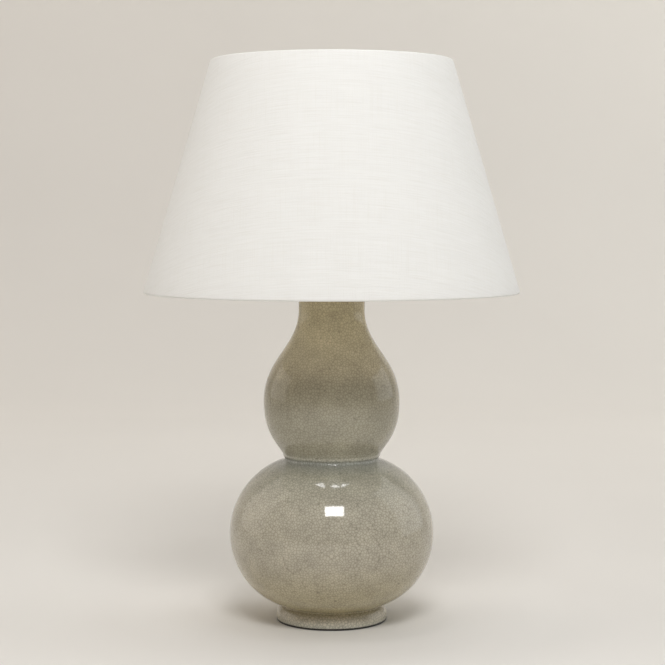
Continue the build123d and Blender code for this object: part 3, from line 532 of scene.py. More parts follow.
# %% [markdown]
# The glaze runs down and fills each crease, so the crease isn't sharp.  Both curves are cut a
# little short of the corner and joined by a small curve that is pulled towards it.  Above the
# waist a thin lip of clay still stands where the upper bulb was pressed on.

# %% Soften creases
def cut_back(curve, run):
    """Shorten a curve by a run at its end, measured along it."""
    length = running_length(curve)
    end = [np.interp(length[-1] - run, length, curve[:, k]) for k in (0, 1)]
    return np.vstack([curve[length < length[-1] - run], end])


def bridge(first, last, corner):
    """A small Bezier between two cut ends, both pulled 0.6 of the way to the corner they left."""
    pull = 0.6
    pulls = first + (corner - first) * pull, last + (corner - last) * pull
    return bezier(first, *pulls, last, 9)[1:-1]


def outline(curves, runs):
    """Chain curves into a loop; each run softens the corner at the end of its curve."""
    curves = [np.array(curve, dtype=float) for curve in curves]
    corners = [curve[-1] for curve in curves]
    cut = [cut_back(curve, run) for curve, run in zip(curves, runs)]
    cut = [cut_back(curve[::-1], run)[::-1] for curve, run in zip(cut, [runs[-1], *runs[:-1]])]
    following = [*cut[1:], cut[0]]
    pieces = [
        np.vstack([curve, bridge(curve[-1], after[0], corner)]) if run else curve[:-1]
        for curve, after, corner, run in zip(cut, following, corners, runs)
    ]
    return np.vstack(pieces)


def raised(profile, height, amount, width):
    """Swell a profile's radius by a smooth bell of the height above the surface."""
    bell = amount * np.exp(-(((profile[:, 1] - height) / width) ** 2))
    return profile + np.stack([bell, np.zeros_like(bell)], axis=1)


# %% Outline of the gourd
lip_height, lip_amount, lip_width = waist_height + 4.2 * mm, 1.1 * mm, 2.0 * mm
edge_run = 1.2 * mm
crease_run, waist_run = 1.6 * mm, 4.6 * mm

foot_side = arc_through(
    (foot_base_radius, foot_start), (foot_bulge_radius, foot_bulge_height), foot_neck
)
outer_curves = [side_curve(0, *curve) for curve in gourd_curves]
outer_curves[2] = raised(outer_curves[2], lip_height, lip_amount, lip_width)
inner_curves = [side_curve(ceramic_wall, *curve, steps=20)[::-1] for curve in gourd_curves]
neck_bore = neck_start[0] - ceramic_wall
floor_height = inner_curves[0][-1][1]
recess_radius, recess_top = foot_base_radius - foot_wall, floor_height - ceramic_wall
neck_edge, bore_edge = (neck_start[0], neck_top), (neck_bore, neck_top)
hole_edge, hole_foot = (centre_hole_radius, floor_height), (centre_hole_radius, recess_top)
recess_corner, recess_rim = (recess_radius, recess_top), (recess_radius, foot_start)
gourd_sides = [
    (foot_side, crease_run),
    (outer_curves[0], 0),
    (outer_curves[1], waist_run),
    (outer_curves[2], 0),
    (outer_curves[3], 0),
    ([neck_start, neck_edge], edge_run),
    ([neck_edge, bore_edge], edge_run),
    ([bore_edge, (neck_bore, neck_start[1])], 0),
    (inner_curves[3], 0),
    (inner_curves[2], 0),
    ([inner_curves[2][-1], inner_curves[1][0]], 0),
    (inner_curves[1], 0),
    (inner_curves[0], 0),
    ([inner_curves[0][-1], hole_edge], 0),
    ([hole_edge, hole_foot], 0),
    ([hole_foot, recess_corner], 0),
    ([recess_corner, recess_rim], edge_run),
    ([recess_rim, (foot_base_radius, foot_start)], edge_run),
]
gourd_profile = outline(*zip(*gourd_sides))
print("gourd profile points:", len(gourd_profile), "widest:", gourd_profile[:, 0].max() / mm)

# %% [markdown]
# ### Crackled glaze
# As the pot cools, the glaze shrinks more than the clay and breaks into a net of fine cracks.
# A Voronoi texture has just that net: its distance to the edge is zero along the cracks.  Noise
# bends the net, so that no crack is straight.  The colour changes with height.  The glaze is thin
# and yellow where it ran down over the belly, and darker and bluish in the creases.  The foot is
# lighter, as painted light where the belly shades it.  The shoulder under the waist and a band on
# the upper bulb are darker, as painted shade.  The lip above the waist is lighter, as a painted
# highlight.

# %% The glaze
crack_spacing, fine_crack_spacing = 3.3 * mm, 1.4 * mm
bend_length, bend_amount = 7 * mm, 1.6 * mm
glaze = start_finish("crackle_glaze", (0.38, 0.35, 0.27), 0.07, IOR=1.58)
clay_place = place_on(glaze)


def vector_math(kind, feeds):
    """The vector that a Vector Math node makes of what feeds it."""
    return add_node(glaze, "VectorMath", feeds, operation=kind).outputs[0]


bend_feeds = {"Vector": clay_place, "Scale": 1 / bend_length, "Detail": 1.0}
bend_noise = add_node(glaze, "TexNoise", bend_feeds).outputs["Color"]
centred_bend = vector_math("SUBTRACT", {0: bend_noise, 1: (0.5, 0.5, 0.5)})
small_bend = vector_math("SCALE", {0: centred_bend, "Scale": bend_amount})
bent_place = vector_math("ADD", {0: clay_place, 1: small_bend})


def crack_net(spacing, randomness=1.0):
    """The distance to the nearest crack of a net, as a share of the net's spacing."""
    feeds = {"Vector": bent_place, "Scale": 1 / spacing, "Randomness": randomness}
    return add_node(glaze, "TexVoronoi", feeds, feature="DISTANCE_TO_EDGE").outputs["Distance"]


crack_distance = crack_net(crack_spacing, 0.85)
fine_distance = crack_net(fine_crack_spacing)
height = add_node(glaze, "SeparateXYZ", {"Vector": clay_place}).outputs["Z"]
along = scaled(glaze, height, 0, 1, 0, neck_top)

glaze_and_painted_light_by_height = {
    # height in millimetres: colour there, the glaze's own tone with painted light, shade and
    # highlight
    # lighter foot: painted light where the lower belly shades it
    2: (0.56, 0.55, 0.47),
    10: (0.58, 0.53, 0.42),
    18.5: (0.44, 0.38, 0.25),
    23: (0.48, 0.42, 0.26),
    50: (0.485, 0.43, 0.295),
    85: (0.46, 0.42, 0.33),
    150: (0.45, 0.42, 0.34),
    # darker shoulder under the waist: painted shade, a painted reflection of the upper bulb
    184: (0.32, 0.31, 0.245),
    194: (0.29, 0.295, 0.255),
    197.5: (0.36, 0.37, 0.33),
    # painted highlight along the lip above the waist
    200.5: (0.50, 0.48, 0.39),
    208: (0.42, 0.395, 0.305),
    # darker band on the upper bulb: painted shade, a painted reflection of the dark room in front
    250: (0.38, 0.355, 0.27),
    290: (0.38, 0.34, 0.24),
    305: (0.47, 0.41, 0.28),
    345: (0.51, 0.44, 0.28),
    405: (0.46, 0.395, 0.235),
}
glaze_and_painted_light_stops = [(height_mm * mm / neck_top, colour) for height_mm, colour in glaze_and_painted_light_by_height.items()]
glaze_and_painted_light_colours = banded(glaze, along, glaze_and_painted_light_stops)
mottle = speckle(glaze, clay_place, 22 * mm, 4.0)
clouded = tinted(glaze, glaze_and_painted_light_colours, scaled(glaze, mottle, 0.9, 1.1, 0.3, 0.7))
with_cells = tinted(glaze, clouded, scaled(glaze, crack_distance, 0.85, 1.10, 0.0, 0.24))
with_fine = tinted(glaze, with_cells, scaled(glaze, fine_distance, 0.93, 1.03, 0.0, 0.25))
crack_line = scaled(glaze, crack_distance, 0.5, 0.0, 0.0, 0.05)
with_cracks = blended(glaze, crack_line, with_fine, (0.13, 0.11, 0.075, 1))
feed_shader(glaze, Base_Color=with_cracks)
feed_shader(glaze, Roughness=scaled(glaze, crack_distance, 0.11, 0.055, 0.0, 0.07))
ripple = speckle(glaze, clay_place, 35 * mm, 1.0)
relief = combined(glaze, "ADD", combined(glaze, "MULTIPLY", crack_distance, 0.06), ripple)
embossed(glaze, relief, 0.35 * mm, 0.6)

# %% [markdown]
# The lead's hole is bored through the back of the foot, with a small flat on each side where
# its grommet sits.  A turned drill is taken away from the turned pot by a Boolean modifier, and
# the result is applied, so that nothing live is left on the piece.

# %% Bore the inlet and make the gourd
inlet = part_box("cord_grommet")
inlet_height = (inlet[0][2] + inlet[1][2]) / 2
flange = 1.5 * mm
inner_flat, outer_flat = inlet[0][1] + flange, inlet[1][1] - flange
flat_radius, hole_radius, drill_spare = 6.4 * mm, 4.55 * mm, 6 * mm
drill_profile = np.array([
    (0, inner_flat - drill_spare), (flat_radius, inner_flat - drill_spare),
    (flat_radius, inner_flat), (hole_radius, inner_flat),
    (hole_radius, outer_flat), (flat_radius, outer_flat),
    (flat_radius, outer_flat + drill_spare), (0, outer_flat + drill_spare),
])
drill_surface = turned(drill_profile, 64, "Y", (0, 0, inlet_height))
drill = add_piece("drill", [drill_surface], "crackle_glaze", "base")
gourd = add_piece(
    "gourd", [turned(gourd_profile, turns=216, closed=True)], "crackle_glaze", "base",
    ["gourd_foot", "gourd_lower", "gourd_upper"],
)
bore = gourd.modifiers.new("bore", "BOOLEAN")
bore.operation = "DIFFERENCE"
bore.object = drill
bored = gourd.evaluated_get(bpy.context.evaluated_depsgraph_get())
solid_mesh = gourd.data
gourd.data = bpy.data.meshes.new_from_object(bored)
gourd.modifiers.clear()
bpy.data.objects.remove(drill)
bpy.data.meshes.remove(solid_mesh)
print("gourd faces after boring:", len(gourd.data.polygons))

# %% [markdown]
# ### Felt pad
# A disc of black felt keeps the glaze off the table.  It shows only as a thin dark line, so a
# turned disc with soft edges is enough, with a fuzzy bump for the wool.

# %% Felt pad
felt = start_finish("felt", (0.035, 0.033, 0.03), 0.95, Sheen_Weight=0.4, Specular_IOR_Level=0.2)
fuzz = speckle(felt, place_on(felt), 0.7 * mm, 4.0)
wool = [(0.3, (0.02, 0.019, 0.018)), (0.7, (0.06, 0.056, 0.05))]
feed_shader(felt, Base_Color=banded(felt, fuzz, wool))
embossed(felt, fuzz, 0.4 * mm)
pad_low, pad_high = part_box("base_pad")
pad_profile = soft_ring(0, pad_high[0], pad_low[2], pad_high[2], 0.6 * mm)
add_piece("felt_pad", [turned(pad_profile, turns=160)], "felt", "base", ["base_pad"])

# %% [markdown]
# ## The shade
# Linen is glued to a stiff white backing, cut as a wide arc and rolled into a cone, and its
# edges are turned over two wire rings.  The threads run straight in the flat cut, so on the
# cone they lean away from level towards the back.  The UV map is that flat cut, in metres.

# %% Sizes of the shade
shade_bottom_radius, shade_top_radius = 225 * mm, 144 * mm
shade_bottom, shade_rim = 395.3 * mm, 671.4 * mm
cloth_thickness, backing_thickness, backing_gap = 0.5 * mm, 0.5 * mm, 0.05 * mm
wire_radius, hem_gap, hem_turn = 1.3 * mm, 0.2 * mm, 210
roll_radius = wire_radius + hem_gap + cloth_thickness
slant = np.array([shade_bottom_radius - shade_top_radius, shade_bottom - shade_rim])
slant_length = np.linalg.norm(slant)
slant_out, slant_down = slant[0] / slant_length, -slant[1] / slant_length
slant_angle = np.degrees(np.arcsin(slant_out))
top_run = roll_radius * (1 - slant_out) / slant_down
bottom_run = slant_length - roll_radius * (1 + slant_out) / slant_down
print("slant:", slant_length / mm, "angle:", slant_angle)


def on_slant(run, depth):
    """The (radius, height) at a run down the outer face and a depth inside it."""
    down, inward = np.array([slant_out, -slant_down]), np.array([-slant_down, -slant_out])
    return np.array([shade_top_radius, shade_rim]) + run * down + depth * inward


# %% The cloth's outline: up the outer face, over both wires, and back along the inner face
top_wire, bottom_wire = on_slant(top_run, roll_radius), on_slant(bottom_run, roll_radius)


def round_wire(wire, radius, turn):
    """Points on an arc round a wire, from where the linen leaves the cone."""
    angle = np.radians(slant_angle + np.linspace(0, turn, 15))
    return circle_points(wire, radius, angle)


def cloth_side(depth, rows=12):
    """One face of the cloth, from the turned edge at the bottom to the one at the top."""
    radius = roll_radius - depth
    face = np.linspace(on_slant(bottom_run, depth), on_slant(top_run, depth), rows)
    under = round_wire(bottom_wire, radius, -hem_turn)[::-1]
    return np.vstack([under[:-1], face, round_wire(top_wire, radius, hem_turn)[1:]])


outer_side, inner_side = cloth_side(0), cloth_side(cloth_thickness)
cloth_profile = np.vstack([outer_side, inner_side[::-1]])
cloth_run = running_length(outer_side)

# %% [markdown]
# The seam runs down the back, where one end of the cloth laps over the other.  The lap is only
# a small step outwards over a finger's width, so it is a change of radius with the angle.

# %% Turn the cloth and lay its flat cut in the UV map
lap_width, lap_step, lap_edge = 11 * mm, 0.45 * mm, 0.5 * mm
lap_middle = tau / 4
cone_tip_run = shade_top_radius / slant_out


def lap(radius, height, angle):
    """Add the step where the angle, as a width on the cone, is inside the lap."""
    away = np.abs((angle - lap_middle + np.pi) % tau - np.pi) * radius
    return radius + lap_step * np.clip((lap_width / 2 - away) / lap_edge, 0, 1)


cloth_turns = 720
side_run = np.concatenate([cloth_run, cloth_run[::-1]])
side_run = np.append(side_run, side_run[0])
turn = (np.arange(cloth_turns + 1) / cloth_turns * tau - lap_middle)[None, :]
hem_length = roll_radius * radians(hem_turn)
from_tip = (cone_tip_run + bottom_run + hem_length - side_run)[:, None]
cut_angle = (turn - np.pi) * slant_out
cloth_uv = np.stack([from_tip * np.sin(cut_angle), from_tip * np.cos(cut_angle)], axis=-1)
cloth_points, _, _ = turned(cloth_profile, cloth_turns, closed=True, bulge=lap)
cloth_grid = cloth_points.reshape(len(cloth_profile), cloth_turns, 3)
cloth_surface = grid_surface(cloth_grid, loop_rows=True, uv=cloth_uv)
print("cloth faces:", len(cloth_surface[1]))

# %% [markdown]
# ### Linen
# Linen yarn is never even: here and there a thicker stretch, a slub, runs level for a few
# centimetres.  Noise stretched along a thread draws those streaks, and two sine waves, one a
# direction, draw the weave itself.  All of it reads the flat cut, so it follows the threads.

# %% The linen
thread_pitch = 0.62 * mm
linen = start_finish("linen", (0.88, 0.87, 0.84), 0.9, Sheen_Weight=0.15, Specular_IOR_Level=0.25)
cut_place = add_node(linen, "UVMap", uv_map="cloth").outputs["UV"]


def streaks(length, width, low, high):
    """Noise drawn out along u by a length and across it by a width, between two limits."""
    place = add_node(linen, "Mapping", {"Vector": cut_place, "Scale": (1 / length, 1 / width, 1)})
    noise = add_node(linen, "TexNoise", {"Vector": place.outputs[0], "Scale": 1.0, "Detail": 2.0})
    return scaled(linen, noise.outputs["Fac"], 0, 1, low, high)


def threads(axis):
    """A sine wave across one set of threads, from 0 between them to 1 on their backs."""
    across = add_node(linen, "SeparateXYZ", {"Vector": cut_place}).outputs[axis]
    wave = combined(linen, "SINE", combined(linen, "MULTIPLY", across, tau / thread_pitch), 0.0)
    return scaled(linen, wave, 0, 1, -1, 1)


level_slubs = streaks(38 * mm, 0.9 * mm, 0.46, 0.72)
level_shade = streaks(90 * mm, 2.2 * mm, 0.3, 0.7)
upright_slubs = streaks(0.9 * mm, 60 * mm, 0.5, 0.75)
weave = combined(linen, "MAXIMUM", threads(0), threads(1))
yarn = blended(linen, level_shade, (0.858, 0.858, 0.846, 1), (0.883, 0.884, 0.872, 1))
yarn = blended(linen, scaled(linen, level_slubs, 0, 0.32), yarn, (0.76, 0.745, 0.70, 1))
yarn = blended(linen, scaled(linen, upright_slubs, 0, 0.26), yarn, (0.78, 0.765, 0.72, 1))
feed_shader(linen, Base_Color=yarn)
slub_height = combined(linen, "ADD", level_slubs, combined(linen, "MULTIPLY", upright_slubs, 0.6))
cloth_height = combined(linen, "ADD", slub_height, combined(linen, "MULTIPLY", weave, 0.5))
embossed(linen, cloth_height, 0.12 * mm, 0.8)

cloth = add_piece(
    "shade_cloth", [cloth_surface], "linen", "shade",
    ["shade_linen", "shade_top_hem", "shade_bottom_hem"],
)

# %% [markdown]
# ### Backing and rings
# The backing is a stiff white sheet inside the linen, and a steel wire runs in each hem.

# %% More helpers for rings and thin walls
def evenly(path, spacing):
    """Points along a path at an even spacing, by its running length."""
    run = running_length(path)
    marks = np.linspace(0, run[-1], int(np.ceil(run[-1] / spacing)) + 1)
    return np.stack([np.interp(marks, run, path[:, k]) for k in range(path.shape[1])], axis=1)


def walled(path, wall):
    """A closed profile: the path, and the path moved to its left by a wall."""
    forward = unit(np.gradient(path, axis=0))
    left = np.stack([-forward[:, 1], forward[:, 0]], axis=1)
    return np.vstack([path, (path + wall * left)[::-1]])


# %% [markdown]
# Most hidden finishes are one idea too: noise moves the colour between two tones and the
# roughness over a small range, and presses a fine relief.  Its lumps are stretched along the
# way that the piece was spun, drawn or moulded.

# %% Grained finishes
def grained(slot, dark, light, grain, rough, relief, stretch=(1, 1, 1), **constants):
    """Colour from dark to light and roughness over a range, with one noise, and a fine bump."""
    finish = start_finish(slot, light, rough[1], **constants)
    lumps = speckle(finish, place_on(finish, stretch), grain, 5.0, 0.6)
    cloud = speckle(finish, place_on(finish), 14 * grain, 2.0)
    halves = [combined(finish, "MULTIPLY", noise, 0.5) for noise in (lumps, cloud)]
    tone = combined(finish, "ADD", *halves)
    feed_shader(
        finish,
        Base_Color=banded(finish, tone, [(0.38, dark), (0.6, light)]),
        Roughness=scaled(finish, tone, rough[0], rough[1], 0.35, 0.65),
    )
    embossed(finish, lumps, relief)


even, plain, metal = (1, 1, 1), {}, {"Metallic": 1.0}
grained_finishes = {
    # slot: dark, light, lumps in mm, roughness, relief in mm, stretch, the shader's constants
    "grommet_rubber": ((0.012, 0.012, 0.012), (0.035, 0.034, 0.033), 1.2, (0.55, 0.8), 0.05,
        even, plain),
    "plated_steel": ((0.50, 0.50, 0.48), (0.70, 0.69, 0.66), 2, (0.25, 0.42), 0.02, even, metal),
    "lamp_brass": ((0.58, 0.40, 0.17), (0.80, 0.60, 0.30), 1.0, (0.2, 0.36), 0.015,
        (1, 1, 7), metal),
    "contact_brass": ((0.66, 0.48, 0.22), (0.86, 0.67, 0.36), 0.8, (0.16, 0.3), 0.01, even, metal),
    "liner_board": ((0.40, 0.29, 0.18), (0.60, 0.46, 0.31), 0.9, (0.8, 0.95), 0.06,
        (1, 1, 0.3), plain),
    "phenolic": ((0.035, 0.026, 0.022), (0.075, 0.058, 0.048), 2.5, (0.28, 0.42), 0.03,
        even, plain),
    "liner_plastic": ((0.84, 0.83, 0.80), (0.90, 0.89, 0.86), 1.4, (0.42, 0.58), 0.02,
        even, plain),
    "spider_paint": ((0.78, 0.77, 0.73), (0.87, 0.86, 0.83), 0.9, (0.35, 0.5), 0.05, even, plain),
    "knob_plastic": ((0.018, 0.015, 0.013), (0.04, 0.035, 0.03), 1.6, (0.2, 0.36), 0.02,
        (0.3, 1, 1), plain),
    "solder": ((0.42, 0.42, 0.42), (0.66, 0.66, 0.65), 1.5, (0.4, 0.6), 0.15, even, metal),
    "insulator_glass": ((0.015, 0.012, 0.02), (0.05, 0.04, 0.05), 2.0, (0.06, 0.2), 0.02,
        even, plain),
    "bulb_cap_metal": ((0.62, 0.62, 0.61), (0.80, 0.80, 0.79), 0.9, (0.28, 0.44), 0.015,
        (1, 1, 5), metal),
    "bulb_frost": ((0.86, 0.86, 0.84), (0.92, 0.92, 0.90), 0.5, (0.34, 0.46), 0.008,
        even, {"Transmission_Weight": 0.25, "IOR": 1.47}),
    "bulb_stem_glass": ((0.86, 0.89, 0.88), (0.94, 0.96, 0.95), 4, (0.02, 0.1), 0.01,
        even, {"Transmission_Weight": 0.9, "IOR": 1.5}),
    "tungsten": ((0.16, 0.16, 0.18), (0.34, 0.34, 0.36), 0.25, (0.3, 0.5), 0.06, (4, 1, 1), metal),
}
for slot, (dark, light, lumps, rough, relief, stretch, constants) in grained_finishes.items():
    grained(slot, dark, light, lumps * mm, rough, relief * mm, stretch, **constants)
print("finishes:", sorted(finishes))

# %% Backing and rings
backing_margin = 2 * mm
backing_start, backing_end = top_run + backing_margin, bottom_run - backing_margin
backing_depth = cloth_thickness + backing_gap
backing_profile = np.array([
    on_slant(backing_start, backing_depth),
    on_slant(backing_end, backing_depth),
    on_slant(backing_end, backing_depth + backing_thickness),
    on_slant(backing_start, backing_depth + backing_thickness),
])
backing = turned(backing_profile, turns=cloth_turns, closed=True)
add_piece("shade_backing", [backing], "liner_plastic", "shade", ["shade_liner"])
for name, wire in (("shade_top_ring", top_wire), ("shade_bottom_ring", bottom_wire)):
    section = circle_points(wire, wire_radius, np.arange(12) * tau / 12)
    surface = turned(section, turns=240, closed=True)
    add_piece(name + "_wire", [surface], "plated_steel", "shade", [name])

# %% [markdown]
# ### Spider and finial
# Three wires run in from the top ring to a flat hub, which sits on the harp's swivel.  The
# finial screws down on it.  It was turned on a lathe: a flange, a cove and a ball.

# %% Spider
swivel_low, swivel_top = ends_of("harp_swivel")
finial_low, finial_top = ends_of("finial")
stud_length = 13 * mm
hub_low, hub_high = swivel_top - stud_length, finial_low
hub_profile = soft_ring(3.4 * mm, 11 * mm, hub_low, hub_high, 0.5 * mm)
arm_height, arm_wire = (hub_low + hub_high) / 2, 1.4 * mm
arm_side = rounded([(9.6 * mm, arm_height), (30 * mm, arm_height), top_wire], 25 * mm, 16)
spider = [turned(hub_profile, turns=96, closed=True)]
for angle in np.radians([90, 210, 330]):
    out, across = np.array([np.cos(angle), np.sin(angle), 0]), (-np.sin(angle), np.cos(angle), 0)
    arm = evenly(arm_side[:, :1] * out + arm_side[:, 1:] * np.array([0, 0, 1]), 3 * mm)
    spider.append(bent_wire(arm, arm_wire, across, 16))
add_piece("spider", spider, "spider_paint", "shade", ["shade_spider"])

# %% Finial
ball_radius, bore_radius, bore_depth = 8.4 * mm, 3.15 * mm, 12 * mm
rim_radius, cove_radius, cove_waist = 7.4 * mm, 6.6 * mm, 4.4 * mm
rim_top = finial_low + 2.6 * mm
flange_side = rounded(
    [(bore_radius, finial_low), (rim_radius, finial_low), (rim_radius, rim_top),
     (cove_radius, rim_top)],
    0.5 * mm,
)
cove = bezier(
    (cove_radius, rim_top), (4.9 * mm, finial_low + 2.9 * mm),
    (cove_waist, finial_low + 4 * mm), (cove_waist, finial_low + 5.6 * mm), 12,
)
ball_angle = np.linspace(-np.arccos(cove_waist / ball_radius), tau / 4, 40)
ball = circle_points((0, finial_top - ball_radius), ball_radius, ball_angle)
bore_wall = [(0, finial_low + bore_depth), (bore_radius, finial_low + bore_depth)]
finial_profile = np.vstack([bore_wall, flange_side, cove[1:], ball])
add_piece("finial_knob", [turned(finial_profile, 120)], "lamp_brass", "finial", ["finial"])

# %% [markdown]
# ### Harp
# The harp is one brass wire bent in a lyre shape.  At its top the wire was pressed flat into a
# round boss for the swivel's rivet.  Its feet drop between two prongs of the saddle, and a
# sleeve slides down over each pair.

# %% Harp bow
wire = 1.75 * mm
saddle_top = ends_of("lock_nut")[0]
boss_low, boss_high = 646.6 * mm, 649.2 * mm
bow_top = (boss_low + boss_high) / 2
leg = 27.775 * mm
half_bow = [(leg, saddle_top), (leg, saddle_top + 33 * mm),
            (58 * mm, saddle_top + 78 * mm), (49 * mm, bow_top)]
bow_corners = half_bow + [(-y, z) for y, z in half_bow[::-1]]
bends = np.array([38, 60, 40, 40, 60, 38]) * mm
bow_line = evenly(rounded(bow_corners, bends, 24), 1.5 * mm)
bow_path = np.hstack([np.zeros((len(bow_line), 1)), bow_line])
near_boss = np.exp(-((bow_line[:, 0] / (9 * mm)) ** 4)) * (bow_line[:, 1] > bow_top - 5 * mm)
pressed_wide, pressed_thin = 5 * mm, (boss_high - boss_low) / 2
bow_radii = np.stack(
    [wire + (pressed - wire) * near_boss for pressed in (pressed_wide, pressed_thin)], axis=1
)
boss_profile = soft_ring(2.45 * mm, 8.5 * mm, boss_low, boss_high, 0.6 * mm)
bow = [bent_wire(bow_path, bow_radii, (1, 0, 0)), turned(boss_profile, closed=True)]
add_piece("harp", bow, "lamp_brass", "base", ["harp_bow"])

# %% Swivel
stud, rivet, rivet_gap = 3.1 * mm, 2.4 * mm, 0.2 * mm
swivel_profile = np.vstack([
    [(0, swivel_low)],
    rounded(
        [(1.5 * mm, swivel_low), (4.2 * mm, swivel_low), (4.2 * mm, boss_low - rivet_gap),
         (rivet, boss_low - rivet_gap), (rivet, boss_high), (7.5 * mm, boss_high),
         (7.5 * mm, hub_low), (stud, hub_low), (stud, swivel_top), (1 * mm, swivel_top)],
        np.array([0.5, 0.2, 0.05, 0.05, 0.3, 0.3, 0.05, 0.5]) * mm,
    ),
    [(0, swivel_top)],
])
add_piece("swivel", [turned(swivel_profile)], "lamp_brass", "swivel", ["harp_swivel"])

# %% [markdown]
# The saddle is a stamped plate: a long bar with round ends and a round middle.  Seen from above,
# its edge has one radius for each angle, so it can be turned like the rest, with the radius
# changed by a formula.  A nut is the same: a turned disc cut to the six sides of a hexagon.

# %% Saddle and lock nut
def plate_edge(angle, half_width, half_length, hub):
    """The radius to the edge of a round-ended bar along Y with a round hub in its middle."""
    across, along = np.abs(np.cos(angle)), np.abs(np.sin(angle))
    side = half_width / np.maximum(across, 1e-6)
    reach = np.sqrt(np.maximum(half_width**2 - (half_length * across) ** 2, 0))
    end = half_length * along + reach
    return np.maximum(np.where(side * along > half_length, end, side), hub)


def as_saddle(radius, height, angle):
    """Stretch the ring between the hole and the hub out to the plate's edge."""
    edge = plate_edge(angle, 5.5 * mm, 27 * mm, saddle_hub)
    return saddle_hole + (radius - saddle_hole) * (edge - saddle_hole) / (saddle_hub - saddle_hole)


def as_nut(flats):
    """A bulge that keeps each radius within a hexagon of that width across its flats."""
    def cut(radius, height, angle):
        side = flats / 2 / np.cos(angle % (tau / 6) - tau / 12)
        return np.minimum(radius, side)
    return cut


def bar(centre, width, depth, low, high, soft):
    """An upright bar of rounded rectangular section whose top end is softened."""
    half = np.array([width, depth]) / 2
    corners = half * [(1, 1), (-1, 1), (-1, -1), (1, -1)]
    ring = rounded(corners, soft, 5, closed=True)
    rise = np.array([[low, 1], [high - soft, 1], [high - soft * 0.3, 0.85], [high, 0.6]])
    flat = ring[None] * rise[:, 1:, None] + np.array(centre)
    levels = np.broadcast_to(rise[:, :1], flat.shape[:2])[..., None]
    walls = np.concatenate([flat, levels], axis=-1)
    ends = [np.broadcast_to([*centre, z], (1, len(ring), 3)) for z in (low, high)]
    return grid_surface(np.concatenate([ends[0], walls, ends[1]]))


saddle_hole, saddle_hub, saddle_low = 5.3 * mm, 10 * mm, saddle_top - 1.6 * mm
saddle_profile = soft_ring(saddle_hole, saddle_hub, saddle_low, saddle_top, 0.3 * mm, 4)
prong_middle, prong_foot, prong_tip = 25.225 * mm, saddle_top - 0.2 * mm, saddle_top + 9 * mm
prongs = [
    bar((0, side * prong_middle), 3 * mm, 1.5 * mm, prong_foot, prong_tip, 0.4 * mm)
    for side in (-1, 1)
]
saddle = turned(saddle_profile, turns=288, closed=True, bulge=as_saddle)
add_piece("saddle", [saddle, *prongs], "lamp_brass", "base", ["harp_saddle"])


def nut(low, high, flats, bore):
    """A hexagonal nut with chamfered corners: a turned ring cut to six sides."""
    corner = flats / np.sqrt(3)
    chamfer = corner - flats / 2
    profile = np.array([
        (bore, low), (flats / 2, low), (corner, low + chamfer / 2),
        (corner, high - chamfer / 2), (flats / 2, high), (bore, high),
    ])
    return turned(profile, turns=96, closed=True, bulge=as_nut(flats))


tube_thread = 5.05 * mm
for name, node, flats, slot in (
    ("neck_nut", "lock_nut", 15 * mm, "lamp_brass"),
    ("foot_nut", "base_nut", 17 * mm, "plated_steel"),
):
    add_piece(name, [nut(*ends_of(node), flats, tube_thread)], slot, "base", [node], 20)

# %% Sleeves, cap, column and grommet
sleeve_profile = soft_ring(3.087 * mm, 3.887 * mm, *ends_of("harp_sleeve_front"), 0.26 * mm, 5)
for side, name in ((-1, "harp_sleeve_front"), (1, "harp_sleeve_back")):
    surface = turned(sleeve_profile, 64, centre=(0, side * 27 * mm, 0), closed=True)
    add_piece(name + "_tube", [surface], "lamp_brass", name, [name])

cap_seat = ends_of("neck_gasket")[1]
cap_rise, cap_radius = cap_seat + 7 * mm, 40.3 * mm
cap_path = rounded(
    [(5.3 * mm, cap_rise), (15 * mm, cap_rise), (33.8 * mm, cap_seat),
     (cap_radius, cap_seat), (cap_radius, cap_seat - 3 * mm)],
    [3 * mm, 3 * mm, 0.5 * mm], 12,
)
cap_profile = walled(evenly(cap_path, 0.3 * mm), 1.0 * mm)
add_piece("neck_dome", [turned(cap_profile, 160, closed=True)], "lamp_brass", "base", ["neck_cap"])

column_low, column_high = ends_of("neck_column")
column_bore, column_foot, column_head, band = 5.3 * mm, 12 * mm, 10.5 * mm, 3 * mm
foot_edge, head_edge = (column_foot, column_low + band), (column_head, column_high - band)
column_waist = arc_through(foot_edge, (7.4 * mm, (column_low + column_high) / 2), head_edge, 24)
column_profile = np.vstack([
    rounded([(column_bore, column_low), (column_foot, column_low), foot_edge], 0.5 * mm, 5),
    column_waist[1:],
    rounded(
        [(column_head, column_high - 2.9 * mm), (column_head, column_high),
         (column_bore, column_high)],
        0.5 * mm, 5,
    ),
])
add_piece("column", [turned(column_profile, closed=True)], "lamp_brass", "base", ["neck_column"])

bush_bore, bush_wall = 3.4 * mm, 4.5 * mm
flange_radius = (inlet[1][0] - inlet[0][0]) / 2
bush_profile = rounded(
    [(bush_bore, inlet[0][1]), (flange_radius, inlet[0][1]), (flange_radius, inner_flat),
     (bush_wall, inner_flat), (bush_wall, outer_flat), (flange_radius, outer_flat),
     (flange_radius, inlet[1][1]), (bush_bore, inlet[1][1])],
    np.array([0.5, 0.5, 0.3, 0.1, 0.1, 0.3, 0.5, 0.5]) * mm, 5, closed=True,
)
bush = turned(bush_profile, 72, "Y", (0, 0, inlet_height), closed=True)
add_piece("inlet_grommet", [bush], "grommet_rubber", "base", ["cord_grommet"])

# %% [markdown]
# ### Lampholder, switch and bulb
# A drawn brass cup on a bushing, with a plain shell in it whose lip is turned in at the top.

